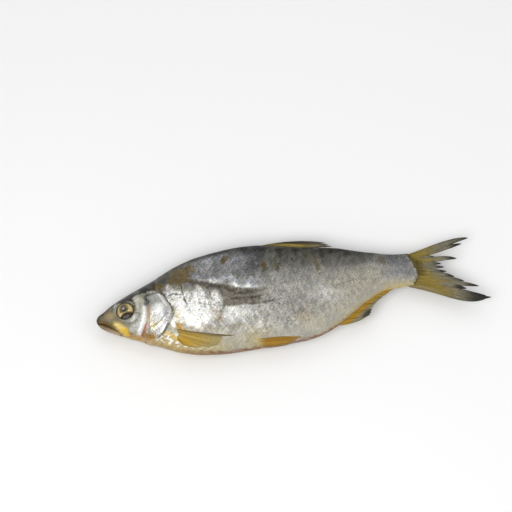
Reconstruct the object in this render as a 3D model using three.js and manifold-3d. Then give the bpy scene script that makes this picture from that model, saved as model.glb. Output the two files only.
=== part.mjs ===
// A dried salted roach: one whole cured fish, lying on its right side as on a table.
// Millimetres, +Z up. The head points along -X, the back along +Y, and the left flank is up.
// While it is built, the snout is at the origin and the fish's middle plane is z = 0.
// The skin is a sphere pulled to the fish's outlines, each fin is a fan of tapered rays,
// and booleans fuse them, sink the eyes, part the lips and cut the flat it rests on.
import * as THREE from "three";
import { mergeVertices } from "three/addons/utils/BufferGeometryUtils.js";
import Module from "manifold-3d";

const wasm = await Module();
wasm.setup();

// ---- Driving dimensions ----
const BODY_LENGTH = 207.5; // snout to the last scale
const REST_DEPTH = 12.9; // middle plane down to the table
const NOSE_ROUND = 3.2; // length over which the snout rounds off
const TAIL_ROUND = 5.5; // length over which the end of the scales rounds off, seen from the side
const TAIL_THINNING = 9; // and the length over which it thins, seen from above
const BACK_FULLNESS = 2.15; // 2 is an ellipse, more is boxier
const BELLY_FULLNESS = 1.95;
const PRESSED_IN = 0.3; // how far past the table the flattened flank would reach
const PRESSED_SOFTNESS = 0.6; // how gently it flattens
const FULL_TURN = 2 * Math.PI;

// Mesh fineness
const SKIN_AROUND = 42;
const SKIN_ALONG = 68;
const HEAD_SHARE_OF_RINGS = 0.47; // the head has finer detail than the trunk
const HEAD_LENGTH = 48.2;
const BLADE_AROUND = 4;
const BLADE_ALONG = 6;

// Outlines: [distance behind the snout, height over the snout]
const back = through([
  [0, 3.2], [4.5, 4.8], [10, 8.1], [21, 13.2], [38, 19.6], [56, 27.3], [68, 30.4], [81, 32.1],
  [95, 33.0], [108, 32.1], [124, 28.6], [140, 25.0], [156, 21.7], [180, 14.1], [193, 10.5],
  [BODY_LENGTH, 9.0],
]);
const belly = through([
  [0, -3.2], [7.5, -8.5], [20, -14.9], [36, -23.1], [50, -30.0], [65, -34.1], [82, -36.0],
  [104, -36.3], [127, -36.4], [137, -35.1], [150, -30.4], [172, -17.6], [185, -12.5],
  [196, -12.2], [BODY_LENGTH, -13.6],
]);
const halfWidth = through([
  [0, 2.6], [4, 4.5], [10, 6.7], [20, 9.3], [40, 13.0], [55, 14.1], [75, 14.5], [95, 14.2],
  [115, 13.0], [135, 11.0], [155, 8.7], [175, 6.4], [190, 4.9], [200, 3.7], [BODY_LENGTH, 2.8],
]);
const middle = through([
  [0, 0.3], [20, -0.6], [47, -1.0], [86, -0.6], [130, -3.6], [160, -1.2], [187, 0.4],
  [BODY_LENGTH, -2.4],
]);

// Rear edges of the head's plates: [height over the snout, distance behind the snout]
const gillEdge = through([
  [-21.8, 32.0], [-16.6, 40.0], [-10.5, 44.8], [-4.5, 47.2], [1.2, 45.6], [5.2, 44.2], [9.0, 41.4],
]);
const cheekEdge = through([
  [-14.8, 24.7], [-10.8, 28.3], [-3.1, 31.6], [0.7, 32.4], [7.6, 31.2],
]);

// Eyes, mouth and nostrils
const EYE = { x: 18.6, y: 0.9, radius: 5.9, bulge: 1.7, socket: 1.7 };
const MOUTH = { start: [-0.4, -1.5], bend: [5.5, -4.2], corner: [12.6, -9.6], gape: 0.9, depth: 2.2 };
const NOSTRIL = { x: 10.7, y: 4.3, radius: 1.0 };

// Hollows where the flesh has shrunk under the skin: centre, size, slant in degrees, depth
const SHRUNK_FOLDS = [
  { x: 87, y: 3, long: 27, wide: 4.6, slant: -32, depth: 1.1 },
  { x: 62, y: -26, long: 20, wide: 6, slant: -14, depth: 0.7 },
  { x: 82, y: -8, long: 3.2, wide: 11, slant: 4, depth: 0.45 },
  { x: 52, y: 14, long: 3.5, wide: 9, slant: 30, depth: 0.5 },
  { x: 128, y: -26, long: 30, wide: 6, slant: 18, depth: 0.5 },
];

// Tail rays, top to bottom: root height, tip, width, and how far the ray bows upwards
const TAIL_ROOT = 199;
const TAIL_RAYS = [
  { root: 7.0, tip: [243.7, 13.7], width: 4.0, bow: 0.2 },
  { root: 4.8, tip: [238.0, 10.5], width: 3.2, bow: 0.4 },
  { root: 3.6, tip: [217.5, 5.4], width: 3.8, bow: 0.1 },
  { root: 2.6, tip: [233.5, 0.9], width: 4.0, bow: 0.7 },
  { root: 0.4, tip: [222.1, -1.1], width: 3.6, bow: 0.2 },
  { root: -1.4, tip: [224.3, -3.7], width: 3.2, bow: 0.1 },
  { root: -3.0, tip: [225.7, -6.8], width: 3.4, bow: 0.1 },
  { root: -4.6, tip: [229.5, -11.6], width: 4.6, bow: 0.4 },
  { root: -6.2, tip: [234.6, -16.0], width: 5.0, bow: 0.1 },
  { root: -7.8, tip: [244.0, -20.6], width: 5.0, bow: -1.2 },
  { root: -9.4, tip: [247.0, -26.4], width: 4.6, bow: -1.6 },
  { root: -11.0, tip: [250.0, -28.7], width: 4.4, bow: -2.0 },
];

// ---- Curves ----

// A smooth curve through [x, y] points that never overshoots them.
function through(points) {
  const last = points.length - 1;
  const slopes = points.slice(1).map(([x, y], i) => (y - points[i][1]) / (x - points[i][0]));
  const tangents = points.map((_, i) => {
    if (i === 0) return slopes[0];
    if (i === last) return slopes[last - 1];
    const product = slopes[i - 1] * slopes[i];
    return product <= 0 ? 0 : (2 * product) / (slopes[i - 1] + slopes[i]);
  });
  return (at) => {
    const x = THREE.MathUtils.clamp(at, points[0][0], points[last][0]);
    let i = 0;
    while (i < last - 1 && x > points[i + 1][0]) i++;
    const [x0, y0] = points[i];
    const [x1, y1] = points[i + 1];
    const run = x1 - x0;
    const t = (x - x0) / run;
    const hump = t * t * (3 - 2 * t);
    const lead = t * (1 - t) * (1 - t) * tangents[i] - t * t * (1 - t) * tangents[i + 1];
    return y0 + (y1 - y0) * hump + run * lead;
  };
}

const easeIn = THREE.MathUtils.smoothstep;
const lerp = THREE.MathUtils.lerp;
const hill = (distance, reach) => Math.exp(-((distance / reach) ** 2));
const quarterRound = (share) => Math.sqrt(1 - (1 - THREE.MathUtils.clamp(share, 0, 1)) ** 2);
const sideRound = (x) =>
  quarterRound(x / NOSE_ROUND) * quarterRound((BODY_LENGTH - x) / TAIL_ROUND);
const topRound = (x) =>
  quarterRound(x / NOSE_ROUND) * quarterRound((BODY_LENGTH - x) / TAIL_THINNING);

// ---- Solids ----

// The manifold-3d solid of a closed geometry.
function solidOf(geometry) {
  const bare = new THREE.BufferGeometry();
  bare.setAttribute("position", geometry.getAttribute("position"));
  bare.setIndex(geometry.index);
  const merged = mergeVertices(bare, 1e-4);
  return new wasm.Manifold(
    new wasm.Mesh({
      numProp: 3,
      vertProperties: merged.attributes.position.array,
      triVerts: new Uint32Array(merged.index.array),
    }),
  );
}

// A closed skin: a sphere whose every vertex is moved to place(share along, turn around).
function closedSkin(around, along, place) {
  const geometry = new THREE.SphereGeometry(1, around, along);
  const uv = geometry.getAttribute("uv");
  const position = geometry.getAttribute("position");
  for (let i = 0; i < position.count; i++) {
    const point = place(1 - uv.getY(i), uv.getX(i) * FULL_TURN);
    position.setXYZ(i, point.x, point.y, point.z);
  }
  return solidOf(geometry);
}

// A thin blade with pointed ends along centre(share). Its width lies along `across`.
function blade({ centre, width, thickness, across }) {
  const step = 1e-3;
  return closedSkin(BLADE_AROUND, BLADE_ALONG, (share, turn) => {
    const at = centre(share);
    const before = centre(Math.max(0, share - step));
    const ahead = centre(Math.min(1, share + step)).sub(before).normalize();
    const side = across.clone().addScaledVector(ahead, -across.dot(ahead)).normalize();
    const face = new THREE.Vector3().crossVectors(side, ahead);
    return at
      .addScaledVector(side, (Math.cos(turn) * width(share)) / 2)
      .addScaledVector(face, (Math.sin(turn) * thickness(share)) / 2);
  });
}

// ---- The body ----

// The half section at x, above or below its widest point: its height, width and fullness.
function section(x, above) {
  const tall = above ? back(x) - middle(x) : middle(x) - belly(x);
  const fullness = above ? BACK_FULLNESS : BELLY_FULLNESS;
  return { reach: tall * sideRound(x), width: halfWidth(x) * topRound(x), fullness };
}

// Height of the smooth flank over the middle plane, at a point of the side view.
function flankHeight(x, y) {
  const { reach, width, fullness } = section(x, y >= middle(x));
  const share = Math.min(1, Math.abs(y - middle(x)) / reach);
  return width * (1 - share ** fullness) ** (1 / fullness);
}

// A bony plate with a rear edge that stands off what is behind it, and a groove there.
function plate(x, y, { edge, low, high, lift, reach, groove }) {
  const ahead = edge(y) - x;
  const tall = easeIn(y, low, low + 3) * (1 - easeIn(y, high - 1.5, high + 0.5));
  const raised = easeIn(ahead, -0.2, 1.0) * (1 - easeIn(ahead, 2, reach));
  return tall * (lift * raised - groove * hill(ahead + 1.2, 0.9));
}

function foldDepth(x, y) {
  return SHRUNK_FOLDS.reduce((sum, fold) => {
    const slant = THREE.MathUtils.degToRad(fold.slant);
    const along = (x - fold.x) * Math.cos(slant) + (y - fold.y) * Math.sin(slant);
    const over = (y - fold.y) * Math.cos(slant) - (x - fold.x) * Math.sin(slant);
    return sum + fold.depth * hill(along, fold.long) * hill(over, fold.wide);
  }, 0);
}

// How far the skin stands out from the smooth body, the same on both flanks.
function relief(x, y) {
  const gillCover = { edge: gillEdge, low: -21.5, high: 9, lift: 1.1, reach: 15, groove: 0.7 };
  const cheek = { edge: cheekEdge, low: -16, high: 8, lift: 0.6, reach: 9, groove: 0.3 };
  const brow = 0.5 * hill(x - EYE.x - 1, 8) * hill(y - EYE.y - 7.2, 2.2);
  return plate(x, y, gillCover) + plate(x, y, cheek) + brow - foldDepth(x, y);
}

// Rings stand closer together in the head, and closest at the rear edge of the gill cover.
const ringStation = through([
  [0, 0], [0.02, 0.25], [0.05, 1.3], [0.12, 6], [HEAD_SHARE_OF_RINGS - 0.05, HEAD_LENGTH - 3.4],
  [HEAD_SHARE_OF_RINGS, HEAD_LENGTH], [HEAD_SHARE_OF_RINGS + 0.03, HEAD_LENGTH + 3],
  [0.95, 199], [0.98, 205], [0.993, 207.1], [1, BODY_LENGTH],
]);

// They lean so that they follow that edge, down to where it turns forwards under the throat.
const ringLean = (x, y) =>
  (gillEdge(Math.max(y, -19)) - gillEdge(-4.5)) * easeIn(x, 6, 32) * (1 - easeIn(x, 52, 92));

function bodySkin() {
  return closedSkin(SKIN_AROUND, SKIN_ALONG, (share, turn) => {
    const up = Math.cos(turn);
    const out = -Math.sin(turn);
    const station = ringStation(share);
    const heightAt = (x) => {
      const { reach, fullness } = section(x, up >= 0);
      return middle(x) + Math.sign(up) * Math.abs(up) ** (2 / fullness) * reach;
    };
    let x = station;
    for (let pass = 0; pass < 8; pass++) x = lerp(x, station + ringLean(station, heightAt(x)), 0.6);
    const y = heightAt(x);
    const form = section(x, up >= 0);
    const z = Math.sign(out) * Math.abs(out) ** (2 / form.fullness) * form.width;
    const outward = new THREE.Vector2(up * form.width, out * form.reach).normalize();
    const raised = relief(x, y) * easeIn(Math.abs(outward.y), 0.1, 0.6) * topRound(x);
    return new THREE.Vector3(x, y + outward.x * raised, settled(z + outward.y * raised));
  });
}

// Height of the finished skin, on the left flank (side 1) or the right one (side -1).
const skinHeight = (x, y, side) =>
  settled(side * Math.max(1.4, flankHeight(x, y) + relief(x, y)));

// The lower flank flattens where it lies on the table.
function settled(z) {
  if (z > 0) return z;
  const lowest = REST_DEPTH + PRESSED_IN;
  return PRESSED_SOFTNESS * Math.log1p(Math.exp((lowest + z) / PRESSED_SOFTNESS)) - lowest;
}

// ---- The fins ----

// A blade along a bowed line of the side view, at the height that lift(x, y) gives.
function finRay({ root, tip, width, bow = 0, skew = 1, thick = 1.1, lift = () => 0 }) {
  const from = new THREE.Vector2(...root);
  const to = new THREE.Vector2(...tip);
  const run = to.clone().sub(from);
  const aside = new THREE.Vector2(-run.y, run.x).normalize();
  const bulge = through([[0, 0.5], [0.3, 0.78], [0.6, 1], [0.85, 0.72], [0.97, 0.3], [1, 0]]);
  const bowed = (share) => (bow * share ** skew * (1 - share) * (skew + 1) ** (skew + 1)) / skew ** skew;
  return blade({
    centre: (share) => {
      const at = from.clone().addScaledVector(run, share);
      at.addScaledVector(aside, bowed(share));
      return new THREE.Vector3(at.x, at.y, lift(at.x, at.y));
    },
    width: (share) => width * bulge(share) * Math.min(1, share * 40),
    thickness: (share) => lerp(thick, 0.6, share) * Math.min(1, (1 - share) * 12, share * 40),
    across: new THREE.Vector3(aside.x, aside.y, 0),
  });
}

// Rays whose roots and tips follow two curves of the side view.
function fan(count, rootAt, tipAt, options) {
  return Array.from({ length: count }, (_, i) => {
    const share = i / (count - 1);
    const more = typeof options === "function" ? options(share) : options;
    return finRay({ root: rootAt(share), tip: tipAt(share), ...more });
  });
}

const tailFin = () =>
  TAIL_RAYS.map((ray) =>
    finRay({ ...ray, root: [TAIL_ROOT, ray.root], skew: 3, thick: 2.6 }),
  );

// The back fin has dried folded down along the back, its first rays outermost.
const backFin = () => {
  const tipX = through([[0, 153.5], [0.2, 156.8], [1, 147]]);
  const tipY = through([[0, 26.0], [0.2, 23.0], [1, 24.2]]);
  return fan(
    6,
    (share) => [lerp(106, 138, share), back(lerp(106, 138, share)) - 1.4],
    (share) => [tipX(share), tipY(share)],
    (share) => ({ width: lerp(2.6, 3.2, share), bow: lerp(1.5, 0.8, share), thick: 1.6 }),
  );
};

// The anal fin stands in a low strip with a free corner at its front rays' tips.
const analFin = () => {
  const tipX = through([[0, 168.5], [0.14, 172.4], [0.28, 173.6], [0.42, 175.8], [1, 189.5]]);
  const tipY = through([[0, -27.7], [0.14, -26.0], [0.28, -23.6], [0.42, -20.2], [1, -12.2]]);
  return fan(
    8,
    (share) => [lerp(149.5, 184, share), belly(lerp(149.5, 184, share)) + 1.6],
    (share) => [tipX(share), tipY(share)],
    (share) => ({ width: lerp(3.8, 3.0, share), bow: lerp(-0.6, -0.2, share), thick: 1.8 }),
  );
};

// Paired fins lie flat on the flank: side is 1 for the left one and -1 for the right one.
const pectoralFin = (side) =>
  fan(
    5,
    (share) => [lerp(46.5, 47.5, share), lerp(-17.4, -21.2, share)],
    (share) => [lerp(83.5, 57, share ** 1.6), lerp(-28.4, -29.4, share ** 0.7)],
    (share) => ({
      width: lerp(3.2, 4.8, share),
      bow: lerp(1.2, -0.8, share),
      thick: 1.3,
      lift: (x, y) => skinHeight(x, y, side),
    }),
  );

const pelvicFin = (side) =>
  fan(
    3,
    (share) => [lerp(96, 98, share), lerp(-31.4, -33.2, share)],
    (share) => [lerp(126.5, 119, share), lerp(-34.6, -35.3, share)],
    (share) => ({
      width: 2.6,
      bow: lerp(0.3, -0.5, share),
      thick: 1.5,
      lift: (x, y) => skinHeight(x, y, side),
    }),
  );

// ---- The head's openings ----

// A flattened ball on the flank, for an eye or the socket round it.
function flankBall(side, { x, y, radius, flat, sunk }) {
  const ball = new THREE.SphereGeometry(1, 16, 8);
  ball.scale(radius, radius, flat);
  ball.translate(x, y, side * (flankHeight(x, y) - sunk));
  return solidOf(ball);
}

function mouthCut(side) {
  const line = new THREE.QuadraticBezierCurve(
    new THREE.Vector2(...MOUTH.start),
    new THREE.Vector2(...MOUTH.bend),
    new THREE.Vector2(...MOUTH.corner),
  );
  return blade({
    centre: (share) => {
      const at = line.getPoint(share);
      return new THREE.Vector3(at.x, at.y, side * flankHeight(Math.max(0.6, at.x), at.y));
    },
    width: (share) => 2 * MOUTH.depth * Math.min(1, (1 - share) * 5, share * 40),
    thickness: (share) => MOUTH.gape * Math.min(1, (1 - share) * 5, share * 40),
    across: new THREE.Vector3(0, 0, 1),
  });
}

// ---- The whole fish ----

const joined = (solids) => solids.reduce((sum, solid) => sum.add(solid));

function wholeFish() {
  let fish = bodySkin();
  for (const side of [1, -1]) {
    fish = fish
      .subtract(flankBall(side, { ...EYE, radius: EYE.radius + 0.5, flat: EYE.socket, sunk: 0.2 }))
      .add(flankBall(side, { ...EYE, radius: EYE.radius - 0.5, flat: EYE.bulge, sunk: 1.0 }))
      .subtract(flankBall(side, { ...NOSTRIL, flat: 0.9, sunk: 0 }))
      .subtract(mouthCut(side));
  }
  const fins = [pectoralFin(1), pectoralFin(-1), pelvicFin(1), pelvicFin(-1)];
  fish = joined([fish, ...[tailFin(), backFin(), analFin(), ...fins].map(joined)]);
  const table = new THREE.BoxGeometry(400, 200, 40);
  table.translate(100, 0, -REST_DEPTH - 20);
  return fish.subtract(solidOf(table));
}

function geometryOf(solid) {
  const { vertProperties, triVerts, numProp } = solid.getMesh();
  const geometry = new THREE.BufferGeometry();
  const position = new THREE.InterleavedBuffer(vertProperties, numProp);
  geometry.setAttribute("position", new THREE.InterleavedBufferAttribute(position, 3, 0));
  geometry.setIndex(new THREE.BufferAttribute(triVerts, 1));
  const flat = geometry.toNonIndexed();
  flat.computeVertexNormals();
  return flat;
}

const geometry = geometryOf(wholeFish());
geometry.computeBoundingBox();
const { min, max } = geometry.boundingBox;

const skin = new THREE.MeshStandardMaterial({ color: 0x8d8a7b, roughness: 0.42, metalness: 0.25 });
const roach = new THREE.Mesh(geometry, skin);
roach.name = "roach";
roach.position.set(-(min.x + max.x) / 2, -(min.y + max.y) / 2, -min.z);

const fishOnItsSide = new THREE.Group();
fishOnItsSide.add(roach);

export default fishOnItsSide;
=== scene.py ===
# %% [markdown]
# # A dried, salted roach, lying on its side
# The fish is one solid in the CAD frame. Here that solid is replaced by fine meshes of the same form:
# the scaled trunk, the bony head, two sunken eyes and seven dry fins. Every mesh starts as a ball
# whose vertices are moved, because a ball is closed, has no seams to mend, and has its two poles
# just where a fish has its ends.
#
# Shapes are worked out in millimetres in the fish's own side view: x runs back from the snout,
# y runs up towards the back, and z runs out of the left flank, which lies uppermost.

# %% The fixed frame
import math

import bmesh
import bpy
import numpy as np
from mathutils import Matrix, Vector


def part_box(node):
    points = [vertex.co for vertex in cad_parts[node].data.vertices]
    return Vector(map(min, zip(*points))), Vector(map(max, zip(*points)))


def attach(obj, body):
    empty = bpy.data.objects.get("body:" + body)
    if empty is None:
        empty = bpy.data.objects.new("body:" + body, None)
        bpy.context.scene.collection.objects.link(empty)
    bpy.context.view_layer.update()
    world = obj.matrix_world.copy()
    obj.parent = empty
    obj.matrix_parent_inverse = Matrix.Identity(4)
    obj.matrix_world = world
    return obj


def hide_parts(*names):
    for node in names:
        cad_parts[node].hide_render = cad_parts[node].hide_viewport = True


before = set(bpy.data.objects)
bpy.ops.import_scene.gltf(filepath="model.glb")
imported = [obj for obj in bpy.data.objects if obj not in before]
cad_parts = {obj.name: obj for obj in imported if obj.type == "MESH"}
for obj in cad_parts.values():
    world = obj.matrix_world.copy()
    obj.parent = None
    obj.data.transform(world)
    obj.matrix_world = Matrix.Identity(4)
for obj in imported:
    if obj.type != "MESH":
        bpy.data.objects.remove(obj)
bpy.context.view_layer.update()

MM = 0.001
low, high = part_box("roach")
print("the solid measures", [round((b - a) / MM, 1) for a, b in zip(low, high)], "mm")

# %% [markdown]
# ## Driving sizes
# The same named sizes as the solid's. The frame says where the solid lies, so the snout's place in
# metres follows from its box: the snout is its foremost point, and the back's peak its highest edge.

# %% Driving sizes
BODY_LENGTH = 207.5    # snout to the last scale
BACK_PEAK = 33.0
REST_DEPTH = 12.9      # middle plane down to the table
NOSE_ROUND = 3.2
TAIL_ROUND = 5.5
TAIL_THINNING = 22.0
BACK_FULLNESS = 2.15
BELLY_FULLNESS = 1.95
PRESSED_IN = 0.3
PRESSED_SOFTNESS = 0.6
HEAD_LENGTH = 47.2     # snout to the hindmost point of the gill cover
CLEAR_OF_TABLE = 0.02
SNOUT = np.array([low.x, high.y - BACK_PEAK * MM, low.z + REST_DEPTH * MM])
LEFT = 1
RIGHT = -1


def placed(points):
    """Fish millimetres to the frame's metres, with nothing below the table."""
    kept = points.copy()
    kept[:, 2] = np.maximum(kept[:, 2], CLEAR_OF_TABLE - REST_DEPTH)
    return SNOUT + kept * MM


# %% [markdown]
# ## Curves
# An outline is a few points and a smooth curve through them. The curve is a monotone cubic, which
# never overshoots its points, so a fish's back gets no waves that weren't drawn.

# %% Curves
def through(points):
    """A smooth curve through [x, y] points that never overshoots them."""
    x, y = np.array(points, float).T
    slope = np.diff(y) / np.diff(x)
    product = slope[:-1] * slope[1:]
    total = np.where(product > 0, slope[:-1] + slope[1:], 1.0)
    inner = np.where(product > 0, 2 * product / total, 0.0)
    tangent = np.concatenate(([slope[0]], inner, [slope[-1]]))

    def curve(at):
        at = np.clip(at, x[0], x[-1])
        i = np.clip(np.searchsorted(x, at) - 1, 0, len(x) - 2)
        run = x[i + 1] - x[i]
        t = (at - x[i]) / run
        hump = t * t * (3 - 2 * t)
        lead = t * (1 - t) ** 2 * tangent[i] - t * t * (1 - t) * tangent[i + 1]
        return y[i] + (y[i + 1] - y[i]) * hump + run * lead

    return curve


def ease(at, start, end):
    """0 before start, 1 after end, and a smooth step between them."""
    t = np.clip((at - start) / (end - start), 0, 1)
    return t * t * (3 - 2 * t)


def band(at, start, full, fade, end):
    """0 before start, 1 from full to fade, and 0 again after end."""
    return ease(at, start, full) * (1 - ease(at, fade, end))


def hill(distance, reach):
    return np.exp(-((distance / reach) ** 2))


def mix(a, b, share):
    return a + (b - a) * share


def quarter_round(share):
    return np.sqrt(1 - (1 - np.clip(share, 0, 1)) ** 2)


print("a quarter of the way along, ease has reached", float(ease(0.25, 0, 1)))


# %% Lines and slanted ovals
def off_line(x, y, points):
    """How far (x, y) lies from a line through given points."""
    nearest = np.full(np.shape(x), np.inf)
    for (ax, ay), (bx, by) in zip(points, points[1:]):
        run = (bx - ax) ** 2 + (by - ay) ** 2
        t = np.clip(((x - ax) * (bx - ax) + (y - ay) * (by - ay)) / run, 0, 1)
        nearest = np.minimum(nearest, np.hypot(x - ax - t * (bx - ax), y - ay - t * (by - ay)))
    return nearest


def off_spot(x, y, spot):
    """Distance from a slanted oval's centre: 1 on its rim. A spot is (x, y, long, wide, slant)."""
    cx, cy, long, wide, slant = spot
    turn = math.radians(slant)
    along = (x - cx) * math.cos(turn) + (y - cy) * math.sin(turn)
    across = (y - cy) * math.cos(turn) - (x - cx) * math.sin(turn)
    return np.hypot(along / long, across / wide)


def trace(x, y, points, wide):
    """1 on a line, fading over wide to both sides."""
    return hill(off_line(x, y, points), wide)


def mound(x, y, spot):
    """1 at a slanted oval's centre, fading to its rim and beyond."""
    return hill(off_spot(x, y, spot), 1)


# %% [markdown]
# ## The fish's outlines
# Four curves give the body: the back's and the belly's line, the half width, and the height of the
# widest point. The lateral line is a fifth, from which the rows of scales are counted. Two more give
# the rear edges of the gill cover and of the cheek plate.

# %% Outlines
back = through([
    [0, 3.2], [4.5, 4.8], [10, 8.1], [21, 13.2], [38, 19.6], [56, 27.3], [68, 30.4], [81, 32.1],
    [95, BACK_PEAK], [108, 32.1], [124, 28.6], [140, 25.0], [156, 21.7], [180, 14.1], [193, 10.5],
    [BODY_LENGTH, 9.0],
])
belly = through([
    [0, -3.2], [7.5, -8.5], [20, -14.9], [36, -23.1], [50, -30.0], [65, -34.1], [82, -36.0],
    [104, -36.3], [127, -36.4], [137, -35.1], [150, -30.4], [172, -17.6], [185, -12.5],
    [196, -12.2], [BODY_LENGTH, -13.6],
])
half_width = through([
    [0, 2.6], [4, 4.5], [10, 6.7], [20, 9.3], [40, 13.0], [55, 14.1], [75, 14.5], [95, 14.2],
    [115, 13.0], [135, 11.0], [155, 8.7], [175, 6.4], [190, 4.9], [200, 3.7], [BODY_LENGTH, 2.8],
])
middle = through([
    [0, 0.3], [20, -0.6], [47, -1.0], [86, -0.6], [130, -3.6], [160, -1.2], [187, 0.4],
    [BODY_LENGTH, -2.4],
])
lateral = through([
    [40, 5.0], [50, 3.0], [58, -0.6], [71, -5.9], [82, -8.4], [104, -10.2], [140, -8.0],
    [170, -3.5], [190, -1.8], [BODY_LENGTH, -3.4],
])
head_edge = through([
    [-24.5, 32.2], [-21.8, 32.6], [-16.6, 40.0], [-10.5, 44.8], [-4.5, HEAD_LENGTH], [1.2, 45.2],
    [5.2, 43.7], [9.0, 41.4], [13.0, 41.0], [21.0, 43.4],
])
cheek_edge = through([
    [-14.8, 24.7], [-10.8, 28.3], [-3.1, 31.6], [0.7, 32.4], [7.6, 31.2],
])


print("the gill cover ends", HEAD_LENGTH, "mm behind the snout")


# %% The body's section
def section(x, above):
    """The half section at x, above or below its widest point: its height, width and fullness."""
    tall = np.where(above, back(x) - middle(x), middle(x) - belly(x))
    front = quarter_round(x / NOSE_ROUND)
    reach = tall * front * quarter_round((BODY_LENGTH - x) / TAIL_ROUND)
    width = half_width(x) * front * quarter_round((BODY_LENGTH - x) / TAIL_THINNING)
    return reach, width, np.where(above, BACK_FULLNESS, BELLY_FULLNESS)


def section_point(x, up, out):
    """y and z of a point of the section at x, and the section's half height and half width."""
    reach, width, fullness = section(x, up >= 0)
    y = middle(x) + np.sign(up) * np.abs(up) ** (2 / fullness) * reach
    z = np.sign(out) * np.abs(out) ** (2 / fullness) * width
    return y, z, reach, width


def flank_height(x, y):
    """Height of the smooth flank over the middle plane, at a point of the side view."""
    reach, width, fullness = section(x, y >= middle(x))
    share = np.minimum(1, np.abs(y - middle(x)) / np.maximum(reach, 1e-6))
    return width * (1 - share ** fullness) ** (1 / fullness)


def settled(z):
    """The lower flank flattens where it lies on the table."""
    lowest = REST_DEPTH + PRESSED_IN
    soft = PRESSED_SOFTNESS * np.log1p(np.exp(np.clip((lowest + z) / PRESSED_SOFTNESS, -30, 30)))
    return np.where(z > 0, z, soft - lowest)


print("the body is", round(float(back(95) - belly(95)), 1), "mm deep at its back's peak")

# %% [markdown]
# ## Lines and hollows in the skin
# Dried skin sinks over the shrunken flesh. Long soft hollows are slanted ovals, and narrow cracks and
# ridges are lines of a few points. The same lines serve the colour further on, so a dark line, painted
# as the groove's shade, always lies in its own groove.

# %% Hollows, cracks and ridges
HOLLOWS = [    # (x, y, long, wide, slant in degrees), depth, below 0 for a swelling
    ((87, 3, 27, 4.6, -32), 1.1),
    ((62, -26, 20, 6, -14), 0.7),
    ((82, -8, 3.2, 11, 4), 0.45),
    ((52, 14, 3.5, 9, 30), 0.5),
    ((128, -26, 30, 6, 18), 0.5),
    ((72, 2, 3.0, 7, 12), 0.4),
    ((59, 4.5, 3.5, 5, 0), -0.35),
    ((66, 1.5, 4.5, 4, -30), -0.5),
    ((74, -28, 14, 4, -6), 0.35),
    ((150, 4, 26, 7, -8), 0.3),
]
RIDGE_LINE = [(62, 15.2), (74.3, 10.1), (82.7, 7.9), (89.4, 5.0), (96.3, 2.4), (107.5, 0.6)]
STREAK_LINE = [(60.6, 13.2), (72.6, 8.6), (82.1, 4.3), (90.5, -1.0), (100.8, -2.0), (108, -1.4)]
LOWER_STREAK = [(83, -4.3), (89.8, -5.1), (97.9, -5.7), (109, -4.9)]
LATERAL_SHADE = [(81.9, -7.8), (90.9, -8.9), (104.8, -10.4), (116, -9.4)]
CRACK_LINE = [(56.4, 10.5), (56.4, 4.7), (56.9, 1.0), (57.9, -3.2)]
UPRIGHT_LINE = [(81.2, 2.4), (81.9, -4.0), (80.6, -8.6), (78.0, -12.4)]
SLANT_LINE = [(71.6, 6.4), (73.4, 2.0), (73.8, -2.6)]
GILL_CREASE = [(47.5, 4.6), (51, 5.3), (55.5, 3.6)]
AXIL_FOLD = [(48.2, -10.5), (49.8, -14.6), (51.9, -18.8), (54.4, -19.9)]
YELLOW_STRIP = [(41.2, -17.5), (44.6, -20.0), (49.0, -24.4), (52.5, -26.8)]
ridge_height = through([
    [58, 15.6], [62, 15.2], [74.3, 10.1], [82.7, 7.9], [89.4, 5.0], [96.3, 2.4], [110, 0.4],
])
GROOVES = [    # line, half width, depth, below 0 for a ridge
    (STREAK_LINE, 1.3, 0.55),
    (LOWER_STREAK, 0.8, 0.22),
    (LATERAL_SHADE, 0.9, 0.3),
    (CRACK_LINE, 0.5, 0.45),
    (UPRIGHT_LINE, 0.8, 0.35),
    (SLANT_LINE, 0.5, 0.25),
    (GILL_CREASE, 0.45, 0.25),
    (AXIL_FOLD, 0.5, 0.3),
    (RIDGE_LINE, 1.5, -0.5),
]


def sunk_skin(x, y):
    """How far the skin lies below the smooth flank."""
    depth = sum(deep * mound(x, y, spot) for spot, deep in HOLLOWS)
    return depth + sum(deep * trace(x, y, points, wide) for points, wide, deep in GROOVES)


print("the skin has", len(HOLLOWS), "hollows and", len(GROOVES), "grooves and ridges")

# %% [markdown]
# ## Where each scale lies
# Scales stand in rows along the fish, each row half a scale behind its neighbours. The pattern needs
# distances on the skin itself: u counts scales back along the fish, and v counts rows up or down from
# the lateral line. v is the arc length round the section, added up once in a table, so that scales
# keep their size over the curve of the back and belly.

# %% Scale coordinates
scale_length = through([[30, 2.8], [60, 3.06], [105, 2.8], [150, 2.25], [200, 1.9], [BODY_LENGTH, 1.9]])
row_height = through([[30, 2.1], [60, 2.3], [105, 2.1], [150, 1.75], [200, 1.45], [BODY_LENGTH, 1.4]])
TABLE_X = np.linspace(20, BODY_LENGTH - 0.3, 190)
TABLE_TURN = np.linspace(0, np.pi, 361)


def arc_table():
    """Arc length from the back round to the belly, for each x and turn of the tables."""
    up = np.cos(TABLE_TURN)[None, :]
    out = np.sin(TABLE_TURN)[None, :]
    y, z = section_point(TABLE_X[:, None], up, out)[:2]
    steps = np.hypot(np.diff(y, axis=1), np.diff(z, axis=1))
    arc = np.concatenate((np.zeros((len(TABLE_X), 1)), np.cumsum(steps, axis=1)), axis=1)
    line_arc = [np.interp(-lateral(xx), -yy, aa) for xx, yy, aa in zip(TABLE_X, y, arc)]
    return np.array(line_arc)[:, None] - arc


ROWS_UP = arc_table() / row_height(TABLE_X)[:, None]
SCALES_ALONG = np.cumsum(np.gradient(TABLE_X) / scale_length(TABLE_X))


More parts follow.
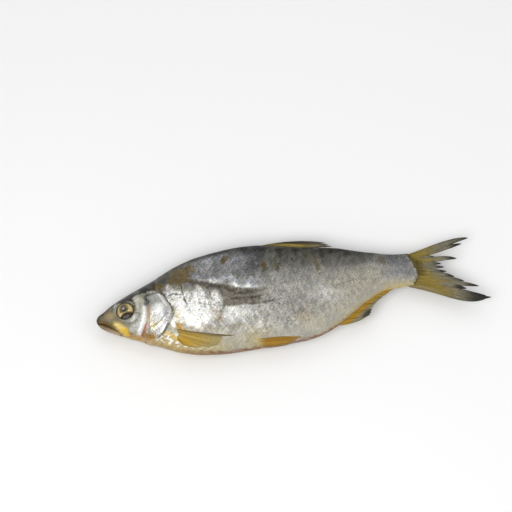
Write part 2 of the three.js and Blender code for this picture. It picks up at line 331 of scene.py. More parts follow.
def scale_place(x, turn):
    """u in scales along the fish and v in rows from the lateral line."""
    i = np.clip((x - TABLE_X[0]) / (TABLE_X[1] - TABLE_X[0]), 0, len(TABLE_X) - 1.001)
    j = np.clip(np.abs(turn) / (TABLE_TURN[1] - TABLE_TURN[0]), 0, len(TABLE_TURN) - 1.001)
    i0 = i.astype(int)
    j0 = j.astype(int)
    near = mix(ROWS_UP[i0, j0], ROWS_UP[i0, j0 + 1], j - j0)
    far = mix(ROWS_UP[i0 + 1, j0], ROWS_UP[i0 + 1, j0 + 1], j - j0)
    return np.interp(x, TABLE_X, SCALES_ALONG), mix(near, far, i - i0)


print("the fish has", round(SCALES_ALONG[-1]), "scales along its side")

# %% [markdown]
# ## Balls into skins
# `balls` makes any number of closed balls in one mesh: the bmesh operator for a UV sphere makes a coarse
# one, and subdividing its edges makes it fine much faster than asking for a fine sphere at once. Each
# vertex gets its share of the way from pole to pole and its turn round the axis. A skin or fin is then a
# function from those two numbers to a place. `piece` moves the vertices, smooths the shading, adds the
# values that the materials read, and tells the frame what the mesh stands for.

# %% Balls
CUTS = 3        # each edge of the coarse ball becomes four


def balls(name, count, around, along):
    """count closed balls in one mesh, and the share and turn of each vertex, one row for each ball."""
    ball = bmesh.new()
    coarse_around = around // (CUTS + 1)
    coarse_along = along // (CUTS + 1)
    bmesh.ops.create_uvsphere(ball, u_segments=coarse_around, v_segments=coarse_along, radius=1.0)
    bmesh.ops.subdivide_edges(ball, edges=ball.edges[:], cuts=CUTS, use_grid_fill=True)
    mesh = bpy.data.meshes.new(name)
    ball.to_mesh(mesh)
    ball.clear()
    for _ in range(count):
        ball.from_mesh(mesh)
    ball.to_mesh(mesh)
    ball.free()
    flat = np.empty(len(mesh.vertices) * 3)
    mesh.vertices.foreach_get("co", flat)
    way = flat.reshape(count, -1, 3)
    way /= np.linalg.norm(way, axis=-1)[..., None]
    share = np.arccos(np.clip(way[..., 2], -1, 1)) / np.pi
    turn = np.arctan2(way[..., 1], way[..., 0])
    return mesh, share, turn


# %% Meshes into pieces
def columns(*values):
    """Rows of numbers for an attribute, from one value or array for each column."""
    size = np.broadcast(*values).shape
    return np.stack([np.broadcast_to(v, size) for v in values], axis=-1).astype(np.float32)


def piece(mesh, points, material, values):
    """A finished piece: values maps an attribute's name to rows of three or four numbers."""
    mesh.vertices.foreach_set("co", placed(points).ravel())
    for name, rows in values.items():
        kind = "FLOAT_COLOR" if rows.shape[1] == 4 else "FLOAT_VECTOR"
        layer = mesh.attributes.new(name, kind, "POINT")
        layer.data.foreach_set("color" if kind == "FLOAT_COLOR" else "vector", rows.ravel())
    mesh.shade_smooth()
    mesh.materials.append(material)
    mesh.update()
    thing = bpy.data.objects.new(mesh.name, mesh)
    bpy.context.scene.collection.objects.link(thing)
    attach(thing, "root")
    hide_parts("roach")
    print(mesh.name, "has", len(mesh.polygons), "faces")
    return thing


# %% [markdown]
# ## Paint
# Colour that follows the body, such as the dark back, is painted on the vertices in layers: each layer
# is a named colour and a mask between 0 and 1. The mesh is finer than a millimetre, so soft zones and
# stains need nothing more. Colours are given as seen on a screen and turned to light values here.

# %% Paint helpers
WAVES = 9        # in each cloud


def light(colour):
    """A colour as seen on a screen, from 0 to 255, as the light values that materials use."""
    c = np.array(colour, float) / 255
    return np.where(c <= 0.04045, c / 12.92, ((c + 0.055) / 1.055) ** 2.4)


def patch(x, y, spot, soft):
    """1 inside a slanted oval, 0 outside, with a soft rim."""
    return 1 - ease(off_spot(x, y, spot), 1 - soft, 1 + soft)


class Coat:
    """The colours of a piece's vertices: layers over a first colour, each laid on by its mask."""

    def __init__(self, colour, x, y):
        self.x = x
        self.y = y
        self.rows = np.tile(light(colour), (len(x), 1))

    def lay(self, colour, mask):
        self.rows += (light(colour) - self.rows) * np.clip(mask, 0, 1)[:, None]

    def spot(self, colour, amount, spot, soft):
        self.lay(colour, amount * patch(self.x, self.y, spot, soft))

    def trace(self, colour, amount, points, wide):
        self.lay(colour, amount * trace(self.x, self.y, points, wide))

    def rows_with(self, last):
        """Rows of four numbers: the colour, and one more that the material reads as Alpha."""
        return columns(*self.rows.T, last)


def cloud(x, y, z, size, seed):
    """Smooth seeded blotches between about -1 and 1, for stains: waves in a few random directions."""
    random = np.random.default_rng(seed)
    total = np.zeros(np.shape(x))
    for _ in range(WAVES):
        way = random.normal(size=3)
        way *= random.uniform(0.6, 1.7) / size / np.linalg.norm(way)
        total += np.sin(2 * np.pi * (x * way[0] + y * way[1] + z * way[2]) + random.uniform(0, 6.28))
    return total / math.sqrt(WAVES)


# %% [markdown]
# ## Shader maths
# `Wire` wraps an output socket, so that maths on a surface reads as Python: `1 - mask * 0.5` adds the
# Math nodes. `Finish` is one material: its `node` method makes any node from its type, its settings and
# its inputs, and colours go through its `blend`, because a Math node would turn them grey.

# %% A socket that does maths
class Wire:
    def __init__(self, finish, socket):
        self.finish = finish
        self.socket = socket

    def out(self, name):
        return Wire(self.finish, self.socket.node.outputs[name])

    def maths(self, operation, *inputs):
        return self.finish.node("ShaderNodeMath", {"operation": operation}, list(inputs))

    def __add__(self, other):
        return self.maths("ADD", self, other)

    def __sub__(self, other):
        return self.maths("SUBTRACT", self, other)

    def __rsub__(self, other):
        return self.maths("SUBTRACT", other, self)

    def __mul__(self, other):
        return self.maths("MULTIPLY", self, other)

    def __pow__(self, power):
        return self.maths("POWER", self, power)

    def __lt__(self, other):
        return self.maths("LESS_THAN", self, other)

    __radd__ = __add__
    __rmul__ = __mul__

    def step(self, start, end):
        """0 before start, 1 after end, smooth between."""
        settings = {"interpolation_type": "SMOOTHSTEP"}
        return self.finish.node("ShaderNodeMapRange", settings, {"Value": self, 1: start, 2: end})


# %% One material
def socket_name(word):
    """The name of a shader's socket, from an argument's name."""
    return word.replace("_", " ").title().replace("Ior", "IOR")


class Finish:
    def __init__(self, name, **constants):
        self.material = bpy.data.materials.new(name)
        self.material.use_nodes = True
        self.tree = self.material.node_tree
        self.shader = self.tree.nodes["Principled BSDF"]
        for socket, value in constants.items():
            self.shader.inputs[socket_name(socket)].default_value = value

    def node(self, kind, settings=None, inputs=None, output=0):
        made = self.tree.nodes.new(kind)
        for name, value in (settings or {}).items():
            setattr(made, name, value)
        pairs = inputs.items() if isinstance(inputs, dict) else enumerate(inputs or [])
        for name, value in pairs:
            if isinstance(value, Wire):
                self.tree.links.new(value.socket, made.inputs[name])
            else:
                made.inputs[name].default_value = value
        return Wire(self, made.outputs[output])

    def attribute(self, name, output="Vector"):
        return self.node("ShaderNodeAttribute", {"attribute_name": name}, output=output)

    def parts(self, vector):
        split = self.node("ShaderNodeSeparateXYZ", inputs=[vector])
        return split, split.out("Y"), split.out("Z")

    def joined(self, x, y, z):
        return self.node("ShaderNodeCombineXYZ", inputs=[x, y, z])

    def blend(self, share, a, b):
        """Colours a and b mixed by share."""
        settings = {"data_type": "RGBA", "clamp_result": True}
        return self.node("ShaderNodeMix", settings, {0: share, 6: a, 7: b}, output=2)

    def scaled(self, colour, factor):
        sockets = {0: colour, "Scale": factor}
        return self.node("ShaderNodeVectorMath", {"operation": "SCALE"}, sockets)

    def tinted(self, colour, tint):
        return self.node("ShaderNodeVectorMath", {"operation": "MULTIPLY"}, [colour, tint])

    def noise(self, vector, scale, detail=2.0, roughness=0.5):
        sockets = {"Vector": vector, "Scale": scale, "Detail": detail, "Roughness": roughness}
        return self.node("ShaderNodeTexNoise", inputs=sockets)

    def place(self):
        """Object coordinates, in metres."""
        return self.node("ShaderNodeTexCoord", output="Object")

    def bump(self, height, distance, strength=1.0, under=None):
        sockets = {"Height": height, "Distance": distance, "Strength": strength}
        if under:
            sockets["Normal"] = under
        return self.node("ShaderNodeBump", inputs=sockets)

    def feed(self, **wires):
        for socket, wire in wires.items():
            self.tree.links.new(wire.socket, self.shader.inputs[socket_name(socket)])
        print(self.material.name, "has", len(self.tree.nodes), "nodes")
        return self.material


# %% [markdown]
# ## The finish of the scales
# Each scale is a thin horny leaf tucked under the one ahead of it, with its round free edge towards the
# tail. The shader finds, for every point, the leaf that lies on top: among the leaves of the two
# nearest rows it is the one that starts furthest forward. Its number gives every scale its own tilt and a
# painted brightness that stands for a fish's glitter, and the distance to its free edge places a painted
# highlight on the rim and a painted shadow where the scale ahead overlaps it. Slanted streaks painted as
# glints lie over them. Modelling five thousand leaves would cost millions of faces for the same picture.

# %% The finish of the scales
EDGE_REACH = 0.5
EDGE_POINTEDNESS = 1.6


def overlapping_scales(finish, u, v):
    """Height of the scales at (u, v), distance ahead of the free edge, distance off the leaf's
    centre line, and a number for each leaf."""
    row = finish.node("ShaderNodeMath", {"operation": "FLOOR"}, [v])
    leaves = []
    for step in (0, 1):
        here = row + step
        off = finish.node("ShaderNodeMath", {"operation": "ABSOLUTE"}, [v - here])
        reach = EDGE_REACH - EDGE_REACH * off ** EDGE_POINTEDNESS
        shift = finish.node("ShaderNodeMath", {"operation": "FLOORED_MODULO"}, [here, 2.0]) * 0.5
        start = finish.node("ShaderNodeMath", {"operation": "CEIL"}, [u - shift - reach]) + shift
        leaves.append((here, reach, start))
    (row_a, reach_a, start_a), (_, reach_b, start_b) = leaves
    second = start_b < start_a
    start = start_a + (start_b - start_a) * second
    reach = reach_a + (reach_b - reach_a) * second
    here = row_a + second
    height = u - start + EDGE_REACH
    edge = start + reach - u
    return height, edge, v - here, finish.joined(start, here, 0.0)


def scale_finish():
    finish = Finish("dried_scales", specular_ior_level=0.12)
    place = finish.place()
    u, v, _ = finish.parts(finish.attribute("scales"))
    silver, rough, raised = finish.parts(finish.attribute("finish"))
    net, sand, mottle = finish.parts(finish.attribute("marks"))
    paint = finish.attribute("paint", "Color")
    u = u + (finish.noise(place, 260.0, 3.0, 0.6) - 0.5) * 0.8
    v = v + (finish.noise(place, 330.0, 2.0) - 0.5) * 0.6
    height, edge, across, number = overlapping_scales(finish, u, v)
    chance = finish.node("ShaderNodeTexWhiteNoise", {"noise_dimensions": "2D"}, {"Vector": number})
    tilt, lift, glint = finish.parts(chance.out("Color"))
    # Painted light on each scale: a highlight just inside its free edge, and a shadow where the scale ahead
    # overlaps it.
    rim_highlight = edge.step(0.0, 0.06) * (1 - edge.step(0.14, 0.3))
    gap_shadow = edge.step(0.7, 0.98)
    streak = finish.noise(finish.joined((u + v) * 0.5, (u - v) * 1.4, 0.0), 1.0, 3.0, 0.6)
    grain = finish.noise(place, 1000.0, 3.0, 0.75)
    blotch = finish.noise(place, 400.0, 4.0, 0.65)
    hue = finish.noise(place, 620.0, 2.0).step(0.4, 0.6)
    net_light = (glint - 0.5) * 0.3 + rim_highlight * (0.2 + glint) - gap_shadow * (0.1 + tilt) - 0.05
    # Fine grain, and slanted streaks painted as glints.
    sand_light = (grain - 0.5) * 3.8 + (streak - 0.5) * 1.8 + (glint - 0.5) * 0.4
    bright = 1 + net * net_light + sand * sand_light
    stained = blotch.step(0.53, 0.66) * mottle
    tint = finish.blend(hue, (0.96, 0.97, 1.06, 1), (1.02, 1.0, 0.9, 1))
    colour = finish.tinted(finish.scaled(paint, bright * (1 - stained * 0.6)), tint)
    leaf = height * edge.step(0.0, 0.16) + (tilt - 0.5) * across * 0.9 + (lift - 0.5) * height * 0.8
    scales = finish.bump(leaf * raised, 0.00035, 0.7)
    skin = finish.bump(grain + streak * 0.5, 0.00025, 0.5, under=scales)
    return finish.feed(
        base_color=colour,
        metallic=silver * (0.6 + glint * 0.6),
        roughness=rough + (grain - 0.5) * 0.4,
        normal=skin,
    )


SKIN = scale_finish()

# %% [markdown]
# ## The trunk
# One ball becomes the whole scaled body, from inside the head to the last scale. Its rings lean near the
# head so that they follow the gill opening, and the rows of vertices stand closest on the flanks, where
# the scales show. Ahead of the gill opening the trunk tucks in under the gill cover, which leaves the
# real gap that shows as a dark line, darkened further by painted shade.

# %% The body's skin
LEAN_ROUNDS = 8        # a ring's lean depends on the height that it gives, so it is found in rounds
LEAN_STEP = 0.6        # the share of the way that x moves in each
RELIEF_FADE = 9.0      # the relief fades out over this length at the tail's root
FLANK_CROWDING = 0.2


def toward_flanks(turn, amount):
    """Turns round the body with the rows of vertices moved closer together on the flanks."""
    return turn + amount * np.sin(2 * turn)


def ring_lean(x, y):
    """Rings lean so that they follow the rear edge of the head."""
    return (head_edge(y) - HEAD_LENGTH) * band(x, 6, 32, 52, 92)


def skin_points(station, turn, relief, shrink=1.0):
    """Points of the body's skin, on rings at station, raised by relief(x, y, z)."""
    up = np.cos(turn)
    out = -np.sin(turn)
    x = station.copy()
    for _ in range(LEAN_ROUNDS):
        y = section_point(x, up, out)[0]
        x = mix(x, station + ring_lean(station, y), LEAN_STEP)
    y, z, reach, width = section_point(x, up, out)
    size = np.maximum(np.hypot(up * width, out * reach), 1e-6)
    normal_y = up * width / size
    normal_z = out * reach / size
    tall = relief(x, y, z) * ease(np.abs(normal_z), 0.1, 0.6)
    tall = tall * quarter_round((BODY_LENGTH - x) / RELIEF_FADE)
    y = y + normal_y * tall
    z = settled(z + normal_z * tall)
    centre = middle(x)
    return np.stack((x, centre + (y - centre) * shrink, z * shrink), axis=-1)


# %% The trunk's form
TRUNK_AROUND = 240
TRUNK_ALONG = 400
TRUNK_FRONT = 30.0
DOME_HEIGHT = 0.1
trunk_station = through([
    [0, TRUNK_FRONT], [0.015, 30.3], [0.06, 37], [0.95, 199], [0.985, 206.4], [1, BODY_LENGTH],
])


def gill_slit(y):
    """1 at the heights where the gill cover stands free of the trunk."""
    return band(y, -21.5, -18.5, 7.5, 9.5)


def trunk_relief(x, y, z):
    ahead = head_edge(y) - x
    free = gill_slit(y)
    rim = 0.25 * (1 - free) * hill(ahead + 0.4, 0.9)
    swell = (0.16 * cloud(x, y, z, 26, 3) + 0.1 * cloud(x, y, z, 9, 4)) * ease(x, 48, 60)
    trough = 0.7 * free * hill(ahead + 1.2, 0.9)
    tuck = 1.7 * mix(ease(ahead, 0.4, 2.2), ease(ahead, -0.8, 1.5), free)
    return rim + swell - sunk_skin(x, y) - trough - tuck


def scale_domes(u, v):
    """A low dome on each scale, for the true relief under the shader's sharp edges."""
    return 0.5 + 0.5 * np.cos(np.pi * (u + v / 2) * 2) * np.cos(np.pi * (u - v / 2) * 2)


trunk_mesh, share, turn = balls("trunk", 1, TRUNK_AROUND, TRUNK_ALONG)
share = share[0]
turn = toward_flanks(turn[0], FLANK_CROWDING)
front_round = quarter_round(share / 0.012)
trunk_points = skin_points(trunk_station(share), turn, trunk_relief, front_round)
trunk_u, trunk_v = scale_place(trunk_points[:, 0], turn)
print("the trunk runs from", trunk_points[:, 0].min().round(1), "to", trunk_points[:, 0].max().round(1))

# %% [markdown]
# ## The trunk's colour
# A dried roach is olive black along the back, slate on the upper flank, silver below, and cream to ochre
# on the belly. Behind the gill the silver is almost white, and part of that white is a painted highlight.
# Scales have come off in a few spots, where the skin shows olive brown. A zone keeps its share of the
# depth from head to tail, so its place is told by `rise`: 0 on the lateral line, 1 at the back's edge and
# -1 at the belly's. What belongs to the left flank alone is multiplied by `left`.

# %% The trunk's palette
OLIVE_BLACK = (44, 43, 37)
EDGE_BLACK = (34, 33, 34)
SILVER_GREY = (156, 154, 149)
BRIGHT_SILVER_AND_HIGHLIGHT = (244, 244, 241)
LILAC_SILVER_HIGHLIGHT = (178, 182, 192)
BEIGE = (163, 159, 147)
CREAM = (173, 168, 154)
PALE_OCHRE = (182, 166, 118)
AXIL_OCHRE = (146, 122, 66)
OCHRE = (188, 164, 112)
WRIST_GREY = (133, 134, 137)
SLATE = (84, 88, 106)
NAPE_BROWN = (74, 62, 40)
BARE_SKIN = (102, 88, 54)
BROWN_SHADE = (112, 106, 95)
DARK_SHADE = (98, 93, 84)
BROWN_STAIN = (140, 118, 92)
DARK_CRACK_AND_SHADE = (62, 53, 43)
PINK_EDGE = (126, 84, 60)
AXIL_GOLD = (178, 134, 18)
STRIP_YELLOW = (210, 172, 52)
FIN_OLIVE = (92, 80, 40)

# %% Places on the trunk
x, y, z = trunk_points.T
left = ease(z, -0.5, 0.5)
line = lateral(x)
rise = np.where(y > line, (y - line) / (back(x) - line), (y - line) / (line - belly(x)))
behind = x - head_edge(y)
blot = cloud(x, y, z, 22, 11)
fine = cloud(x, y, z, 7, 12)
small = cloud(x, y, z, 3.4, 13)
tooth = np.abs((trunk_u % 1) * 2 - 1)      # 1 at a scale's ends and 0 at its middle
print("of the trunk's vertices,", round(100 * left.mean()), "% lie on the left flank")

# %% Silver flank and pale belly
# The near-white behind the gill is partly the scales' own silver and partly a painted highlight; the
# shoulder mask carries it up over the lateral line.
bright_front_and_highlight = through([[48, 0.95], [66, 0.95], [74, 0.55], [84, 0.5], [92, 0.4], [100, 0.2], [112, 0]])
coat = Coat(SILVER_GREY, x, y)
coat.lay(BEIGE, band(x, 138, 165, 184, 196) * (1 - ease(rise, 0.1, 0.4)))
coat.lay(CREAM, ease(-rise, 0.3, 0.7) * (0.8 + 0.3 * blot))
coat.lay(WRIST_GREY, ease(x, 178, 193) * ease(rise + 0.1 * blot, -0.55, -0.2))
coat.lay(PALE_OCHRE, 0.7 * ease(x, 180, 190) * ease(-rise, 0.5, 0.9))
coat.lay(PALE_OCHRE, 0.6 * ease(x, 138, 152) * ease(-rise, 0.82, 0.95))
silver_foot = mix(-0.56, -0.5, ease(x, 60, 72))
silver_full = mix(-0.46, -0.2, ease(x, 60, 72))
front = ease(rise + 0.05 * fine, silver_foot, silver_full) * (1 - ease(rise, -0.05, 0.03))
front = front * bright_front_and_highlight(x)
coat.lay(BRIGHT_SILVER_AND_HIGHLIGHT, front * (0.95 + 0.12 * fine))
shoulder_silver_and_highlight = (1 - ease(x, 77, 82)) * ease(rise, -0.1, -0.02) * (1 - ease(rise + 0.07 * fine, 0.08, 0.3))
coat.lay(BRIGHT_SILVER_AND_HIGHLIGHT, 0.7 * shoulder_silver_and_highlight)
print("the brightest silver reaches back to", x[front > 0.5].max().round(1), "mm")

# %% The dark back
dark_back = through([[0.16, 0], [0.4, 0.29], [0.55, 0.6], [0.7, 0.78], [0.85, 0.9], [1, 1]])
dark_nape = through([[0.3, 0], [0.42, 0.35], [0.55, 0.62], [0.75, 0.64], [0.9, 0.76], [1, 0.95]])
dark_shoulder = through([
    [0.16, 0], [0.4, 0.14], [0.6, 0.22], [0.75, 0.22], [0.84, 0.4], [0.93, 0.9], [1, 1],
])
coat.lay(BROWN_SHADE, 0.5 * (1 - ease(x, 58, 76)) * ease(rise, 0.15, 0.3))
wavy = rise + 0.03 * blot + 0.05 * ease(x, 138, 152)
dark = mix(dark_nape(wavy), dark_shoulder(wavy), ease(x, 50, 64))
dark = mix(dark, dark_back(wavy), ease(x, 78, 108)) * (1 - 0.42 * ease(x, 172, 188))
coat.lay(OLIVE_BLACK, dark * (1 + 0.08 * fine))
coat.lay(SLATE, 0.3 * band(rise, 0.3, 0.5, 0.84, 0.93) * band(x, 50, 60, 98, 118))
coat.lay(EDGE_BLACK, 0.55 * ease(rise, 0.84, 0.95) * band(x, 62, 78, 106, 114))
print("the dark back covers", round(100 * (dark > 0.5).mean()), "% of the trunk")

# %% [markdown]
# ## The ridge on the shoulder
# As the flesh shrank, the skin of the left flank rose in a ridge that runs down and back from the
# shoulder. Its top catches the light, which is painted on as a lilac and white highlight, and the shade
# under it is painted in brown and dark bands.

# %% The ridge and its shade
over_ridge = y - ridge_height(x)
reach_up = mix(0.6, 4.0, ease(x, 76, 88)) + 1.0 * small
# The lilac band and its white crest are lilac silver scales brightened by a painted highlight on the
# ridge's top.
ridge = band(over_ridge, -1.7, -1.2, reach_up, reach_up + 2.4) * band(x, 62, 67, 97, 113) * left
coat.lay(LILAC_SILVER_HIGHLIGHT, 0.75 * ridge * (0.75 + 0.4 * fine) * mix(0.45, 1, ease(x, 70, 84)))
crest_highlight = ease(over_ridge, -1.7, -1.2) * (1 - ease(over_ridge - 1.5 * tooth, -0.6, 1.0))
crest_highlight = crest_highlight * band(x, 63, 82, 92, 108) * left
coat.lay(BRIGHT_SILVER_AND_HIGHLIGHT, 0.6 * crest_highlight * np.clip(0.55 + 0.7 * fine + 0.3 * small, 0, 1.3))
# The brown wedge below the ridge is painted shade.
wedge_shade = ease(rise + 0.02 * fine, -0.03, 0.03) * (1 - ease(over_ridge, -2.2, -1.6))
wedge_shade = wedge_shade * ease(x + 0.4 * fine, 79, 82) * (1 - ease(x, 100, 114)) * left
coat.lay(BROWN_SHADE, 0.84 * wedge_shade)
# A darker painted shade lies further under the ridge.
under = hill(over_ridge + 4.4, 2.8) * band(x, 60, 66, 80, 84) * left
coat.lay(DARK_SHADE, 0.9 * under)
print("the ridge runs from", x[ridge > 0.3].min().round(1), "to", x[ridge > 0.3].max().round(1), "mm")

# %% [markdown]
# ## Stains, painted shine and shade in the cracks
# These make the fish unlike any other: brown blushes where oil came through, scales that stand up and
# shine, painted on as highlights, and dark lines painted in the grooves of the relief as their shade. Each
# is a slanted oval or a line.

# %% Stains, painted shine and shade in the cracks
REAR_SHADE = (131.0, -16.0, 10.0, 7.0, 0)
UPPER_SPARKLE = (84.0, 21.6, 15.0, 5.0, -6)
BROWN_BLUSHES = [
    ((75.8, -12.9, 3.0, 5.4, 8), 0.6),
    ((86.5, -21.7, 4.4, 1.5, -6), 0.45),
    ((78.0, -17.5, 4.0, 2.0, -6), 0.4),
    ((64.0, -19.5, 8.0, 1.6, -8), 0.45),
    ((131.0, -22.0, 6.0, 5.0, 30), 0.25),
    ((49.5, 1.0, 2.2, 2.6, 0), 0.3),
]
RAISED_SCALE_HIGHLIGHTS = [
    ((68.0, 3.4, 1.7, 4.6, 24), 0.75),
    ((56.0, 0.8, 4.2, 1.7, -32), 0.8),
    ((86.0, -13.0, 4.0, 3.6, 0), 0.3),
    ((48.8, 8.6, 2.0, 3.4, 0), 0.6),
    ((48.8, -1.4, 1.5, 2.6, 8), 0.45),
    ((147.0, -11.0, 12.0, 4.6, -10), 0.22),
    ((101.0, -24.0, 2.4, 2.0, 0), 0.4),
]
# Dark lines painted into the grooves of the relief as their shade.
SKIN_MARKS = [    # line, half width, colour, amount
    (STREAK_LINE, 1.2, DARK_CRACK_AND_SHADE, 0.7),
    (LOWER_STREAK, 0.8, DARK_CRACK_AND_SHADE, 0.5),
    (LATERAL_SHADE, 0.8, DARK_CRACK_AND_SHADE, 0.4),
    (UPRIGHT_LINE, 0.7, BROWN_SHADE, 0.9),
    (SLANT_LINE, 0.5, DARK_CRACK_AND_SHADE, 0.6),
    (GILL_CREASE, 0.45, DARK_CRACK_AND_SHADE, 0.8),
    (CRACK_LINE, 0.4, DARK_CRACK_AND_SHADE, 0.95),
]
coat.spot(BROWN_SHADE, 0.24, REAR_SHADE, 0.8)
middle_band = (1 - ease(-rise, 0.7, 0.95)) * (1 - ease(rise, 0.3, 0.5))
coat.lay(BROWN_SHADE, 0.16 * ease(x, 150, 162) * middle_band)
# A painted sparkle: lilac silver brightened as a highlight on the upper flank.
coat.spot(LILAC_SILVER_HIGHLIGHT, 0.3 * left * (0.8 + 0.5 * fine), UPPER_SPARKLE, 0.7)
for spot, amount in BROWN_BLUSHES:
    coat.spot(BROWN_STAIN, amount * (0.8 + 0.4 * small) * left, spot, 0.6)
# Raised scales that shine are painted highlights of bright silver.
for spot, amount in RAISED_SCALE_HIGHLIGHTS:
    coat.spot(BRIGHT_SILVER_AND_HIGHLIGHT, amount * (0.8 + 0.3 * fine) * left, spot, 0.5)
for points, wide, colour, amount in SKIN_MARKS:
    coat.trace(colour, amount * (0.85 + 0.3 * small) * left, points, wide)
pores = hill(trunk_v + 0.1, 0.26) * (0.5 + 0.5 * np.cos(2 * np.pi * trunk_u)) * ease(x, 52, 56)
coat.lay(DARK_CRACK_AND_SHADE, pores * mix(0.8, 0.25, ease(x, 78, 96)))
print("laid on", len(BROWN_BLUSHES), "blushes and", len(SKIN_MARKS), "dark lines")

# %% [markdown]
# ## The belly and the edge of the gill opening
# Oil runs down as a fish dries, so the belly is ochre and its keel pinkish brown. Behind the gill cover
# lie the gap, painted dark as its shade, the yellow fold over the pectoral fin's root, and a short white
# bone.

# %% The belly and the edge of the gill opening
AXIL_STAIN = (50.4, -16.4, 2.6, 2.0, 10)
CHEST_STAIN = (50.0, -8.2, 2.0, 4.6, 8)
SHOULDER_BONE = (46.9, -13.6, 1.0, 3.0, 22)
coat.lay(PALE_OCHRE, 0.8 * ease(-rise, 0.62, 0.9) * (1 - ease(x, 66, 88)))
coat.lay(OCHRE, 0.6 * ease(-rise, 0.7, 0.86) * (1 - ease(x, 48, 66)))
coat.lay(PALE_OCHRE, 0.6 * hill(x - 97, 7) * ease(-rise, 0.55, 0.85))
# Painted white glints on the front of the belly.
glitter = band(-rise, 0.66, 0.76, 0.9, 0.96) * (1 - ease(x, 60, 72))
coat.lay(BRIGHT_SILVER_AND_HIGHLIGHT, 0.9 * glitter * ease(small, 0.0, 0.6))
keel = ease(-rise + 0.012 * small, 0.94, 0.99) * (1 - ease(x, 150, 165)) * mix(0.4, 1, ease(x, 44, 64))
coat.lay(PINK_EDGE, keel * (0.72 + 0.12 * fine + 0.08 * small))
coat.spot(AXIL_OCHRE, 0.6 * left, AXIL_STAIN, 0.5)
coat.spot(PALE_OCHRE, 0.85 * left * (0.8 + 0.4 * small), CHEST_STAIN, 0.6)
coat.trace(AXIL_GOLD, 0.9, AXIL_FOLD[1:], 1.0)
coat.trace(STRIP_YELLOW, 0.85 * left, YELLOW_STRIP, 0.7)
coat.lay(NAPE_BROWN, 0.85 * hill(behind - 1.4, 1.6) * band(y, 3, 7, 11, 16))
coat.lay(BEIGE, 0.8 * hill(behind - 2.2, 1.0) * band(y, -13, -10, -6, -3))
# The gap behind the gill cover is painted dark as its shade.
upper_gap = ease(y, -9, -3)
gap = hill(behind - 1.0, mix(0.45, 0.7, upper_gap)) * band(y, -21, -18, 7.5, 10)
coat.lay(DARK_CRACK_AND_SHADE, mix(0.6, 0.95, upper_gap) * gap)
coat.spot(BRIGHT_SILVER_AND_HIGHLIGHT, 1 - gap, SHOULDER_BONE, 0.4)
print("the dark gap runs from y =", y[gap > 0.5].min().round(1), "to", y[gap > 0.5].max().round(1), "mm")

# %% [markdown]
# ## Lost scales and the last row
# Where scales are lost the bare skin is brown, dull and smooth, and a few scales show as pale broken
# rings. The last row ends in an edge over the tail's root, and `tooth` makes its teeth as long as the
# scales.

# %% Lost scales and the last row
BARE_PATCHES = [    # spot, and how bare it is
    ((57.2, 17.2, 8.8, 5.6, 34), 0.95),
    ((86.6, 23.2, 3.6, 2.0, 42), 0.9),
    ((110.4, 13.4, 1.9, 4.2, 4), 0.9),
    ((118.7, 13.6, 1.2, 3.4, 2), 0.7),
    ((42.6, 12.4, 3.6, 2.2, 14), 0.9),
    ((138.9, 17.4, 1.4, 1.6, 0), 0.6),
    ((144.2, 9.6, 1.6, 5.6, 4), 0.6),
    ((185.4, 6.8, 1.6, 3.6, 24), 0.6),
]
PALE_RINGS = [
    (95.6, 20.6, 3.0, 2.4, 0),
    (144.6, 1.8, 3.2, 2.8, 10),
    (171.0, 0.8, 3.6, 3.2, 0),
    (178.0, 1.2, 3.0, 2.8, 0),
    (187.0, 2.2, 2.4, 2.0, 0),
]
LAST_ROW = 205.8
torn = 0.2 * cloud(x, y, z, 5, 21) + 0.12 * small
bare = np.zeros(len(x))
for spot, amount in BARE_PATCHES:
    inside_spot = 1 - ease(off_spot(x, y, spot) + torn, 0.85, 1.3)
    bare = np.maximum(bare, amount * inside_spot * left)
coat.lay(BARE_SKIN, bare * (0.88 + 0.3 * small))
coat.lay(DARK_CRACK_AND_SHADE, 0.4 * bare * ease(x, 78, 84))
for ring in PALE_RINGS:
    broken = hill(off_spot(x, y, ring) - 1, 0.3) * (0.5 + 0.5 * small)
    coat.lay(CREAM, 0.34 * broken * left)
past_row = x - (LAST_ROW - 0.035 * (y + 3) ** 2 + 1.2 * (tooth - 0.5) + 0.5 * small)
unscaled = ease(past_row, -0.2, 0.3)
# A faint painted highlight along the last row's edge.
coat.lay(BRIGHT_SILVER_AND_HIGHLIGHT, 0.14 * hill(past_row + 0.9, 0.6) * ease(y, -9, -7))
coat.lay(FIN_OLIVE, unscaled)
print("bare skin shows on", round(100 * (bare > 0.5).mean(), 1), "% of the trunk")

# %% [markdown]
# ## The trunk's sheen and relief
# Beside the colour the finish reads six numbers: how metallic and how rough the skin is, how far the
# scales stand up, and how much net, sand and mottle their colour has. Net is the painted highlight on the
# scales' rims and the painted shadow in their gaps, sand the fine grain and painted slanted glints over it,
# and mottle the dark stains.

# %% The trunk's sheen and relief
silver = 0.2 + 0.25 * front + 0.15 * shoulder_silver_and_highlight + 0.1 * ridge
silver = silver * (1 - bare) * (1 - unscaled) * (1 - 0.6 * ease(rise, 0.5, 0.9)) * (1 - 0.6 * wedge_shade)
rough = 0.42 - 0.06 * front + 0.1 * bare + 0.06 * ease(-rise, 0.5, 0.8)
raised = (1 - 0.85 * bare) * (1 - unscaled) * ease(behind, -0.5, 1.5)
raised = raised * mix(1.0, 0.35, ease(-rise, 0.62, 0.92)) * mix(1.0, 0.8, ease(x, 120, 165))
upper_flank = ease(rise, 0.25, 0.45)
net = mix(0.4, 0.6, ease(x, 100, 125)) * mix(1.0, 0.5, ease(-rise, 0.3, 0.8)) * raised
net = np.maximum(net, 0.7 * upper_flank * raised)
sand = 0.5 + 0.3 * wedge_shade + 0.25 * shoulder_silver_and_highlight + 0.15 * band(x, 84, 96, 118, 135) - 0.15 * front
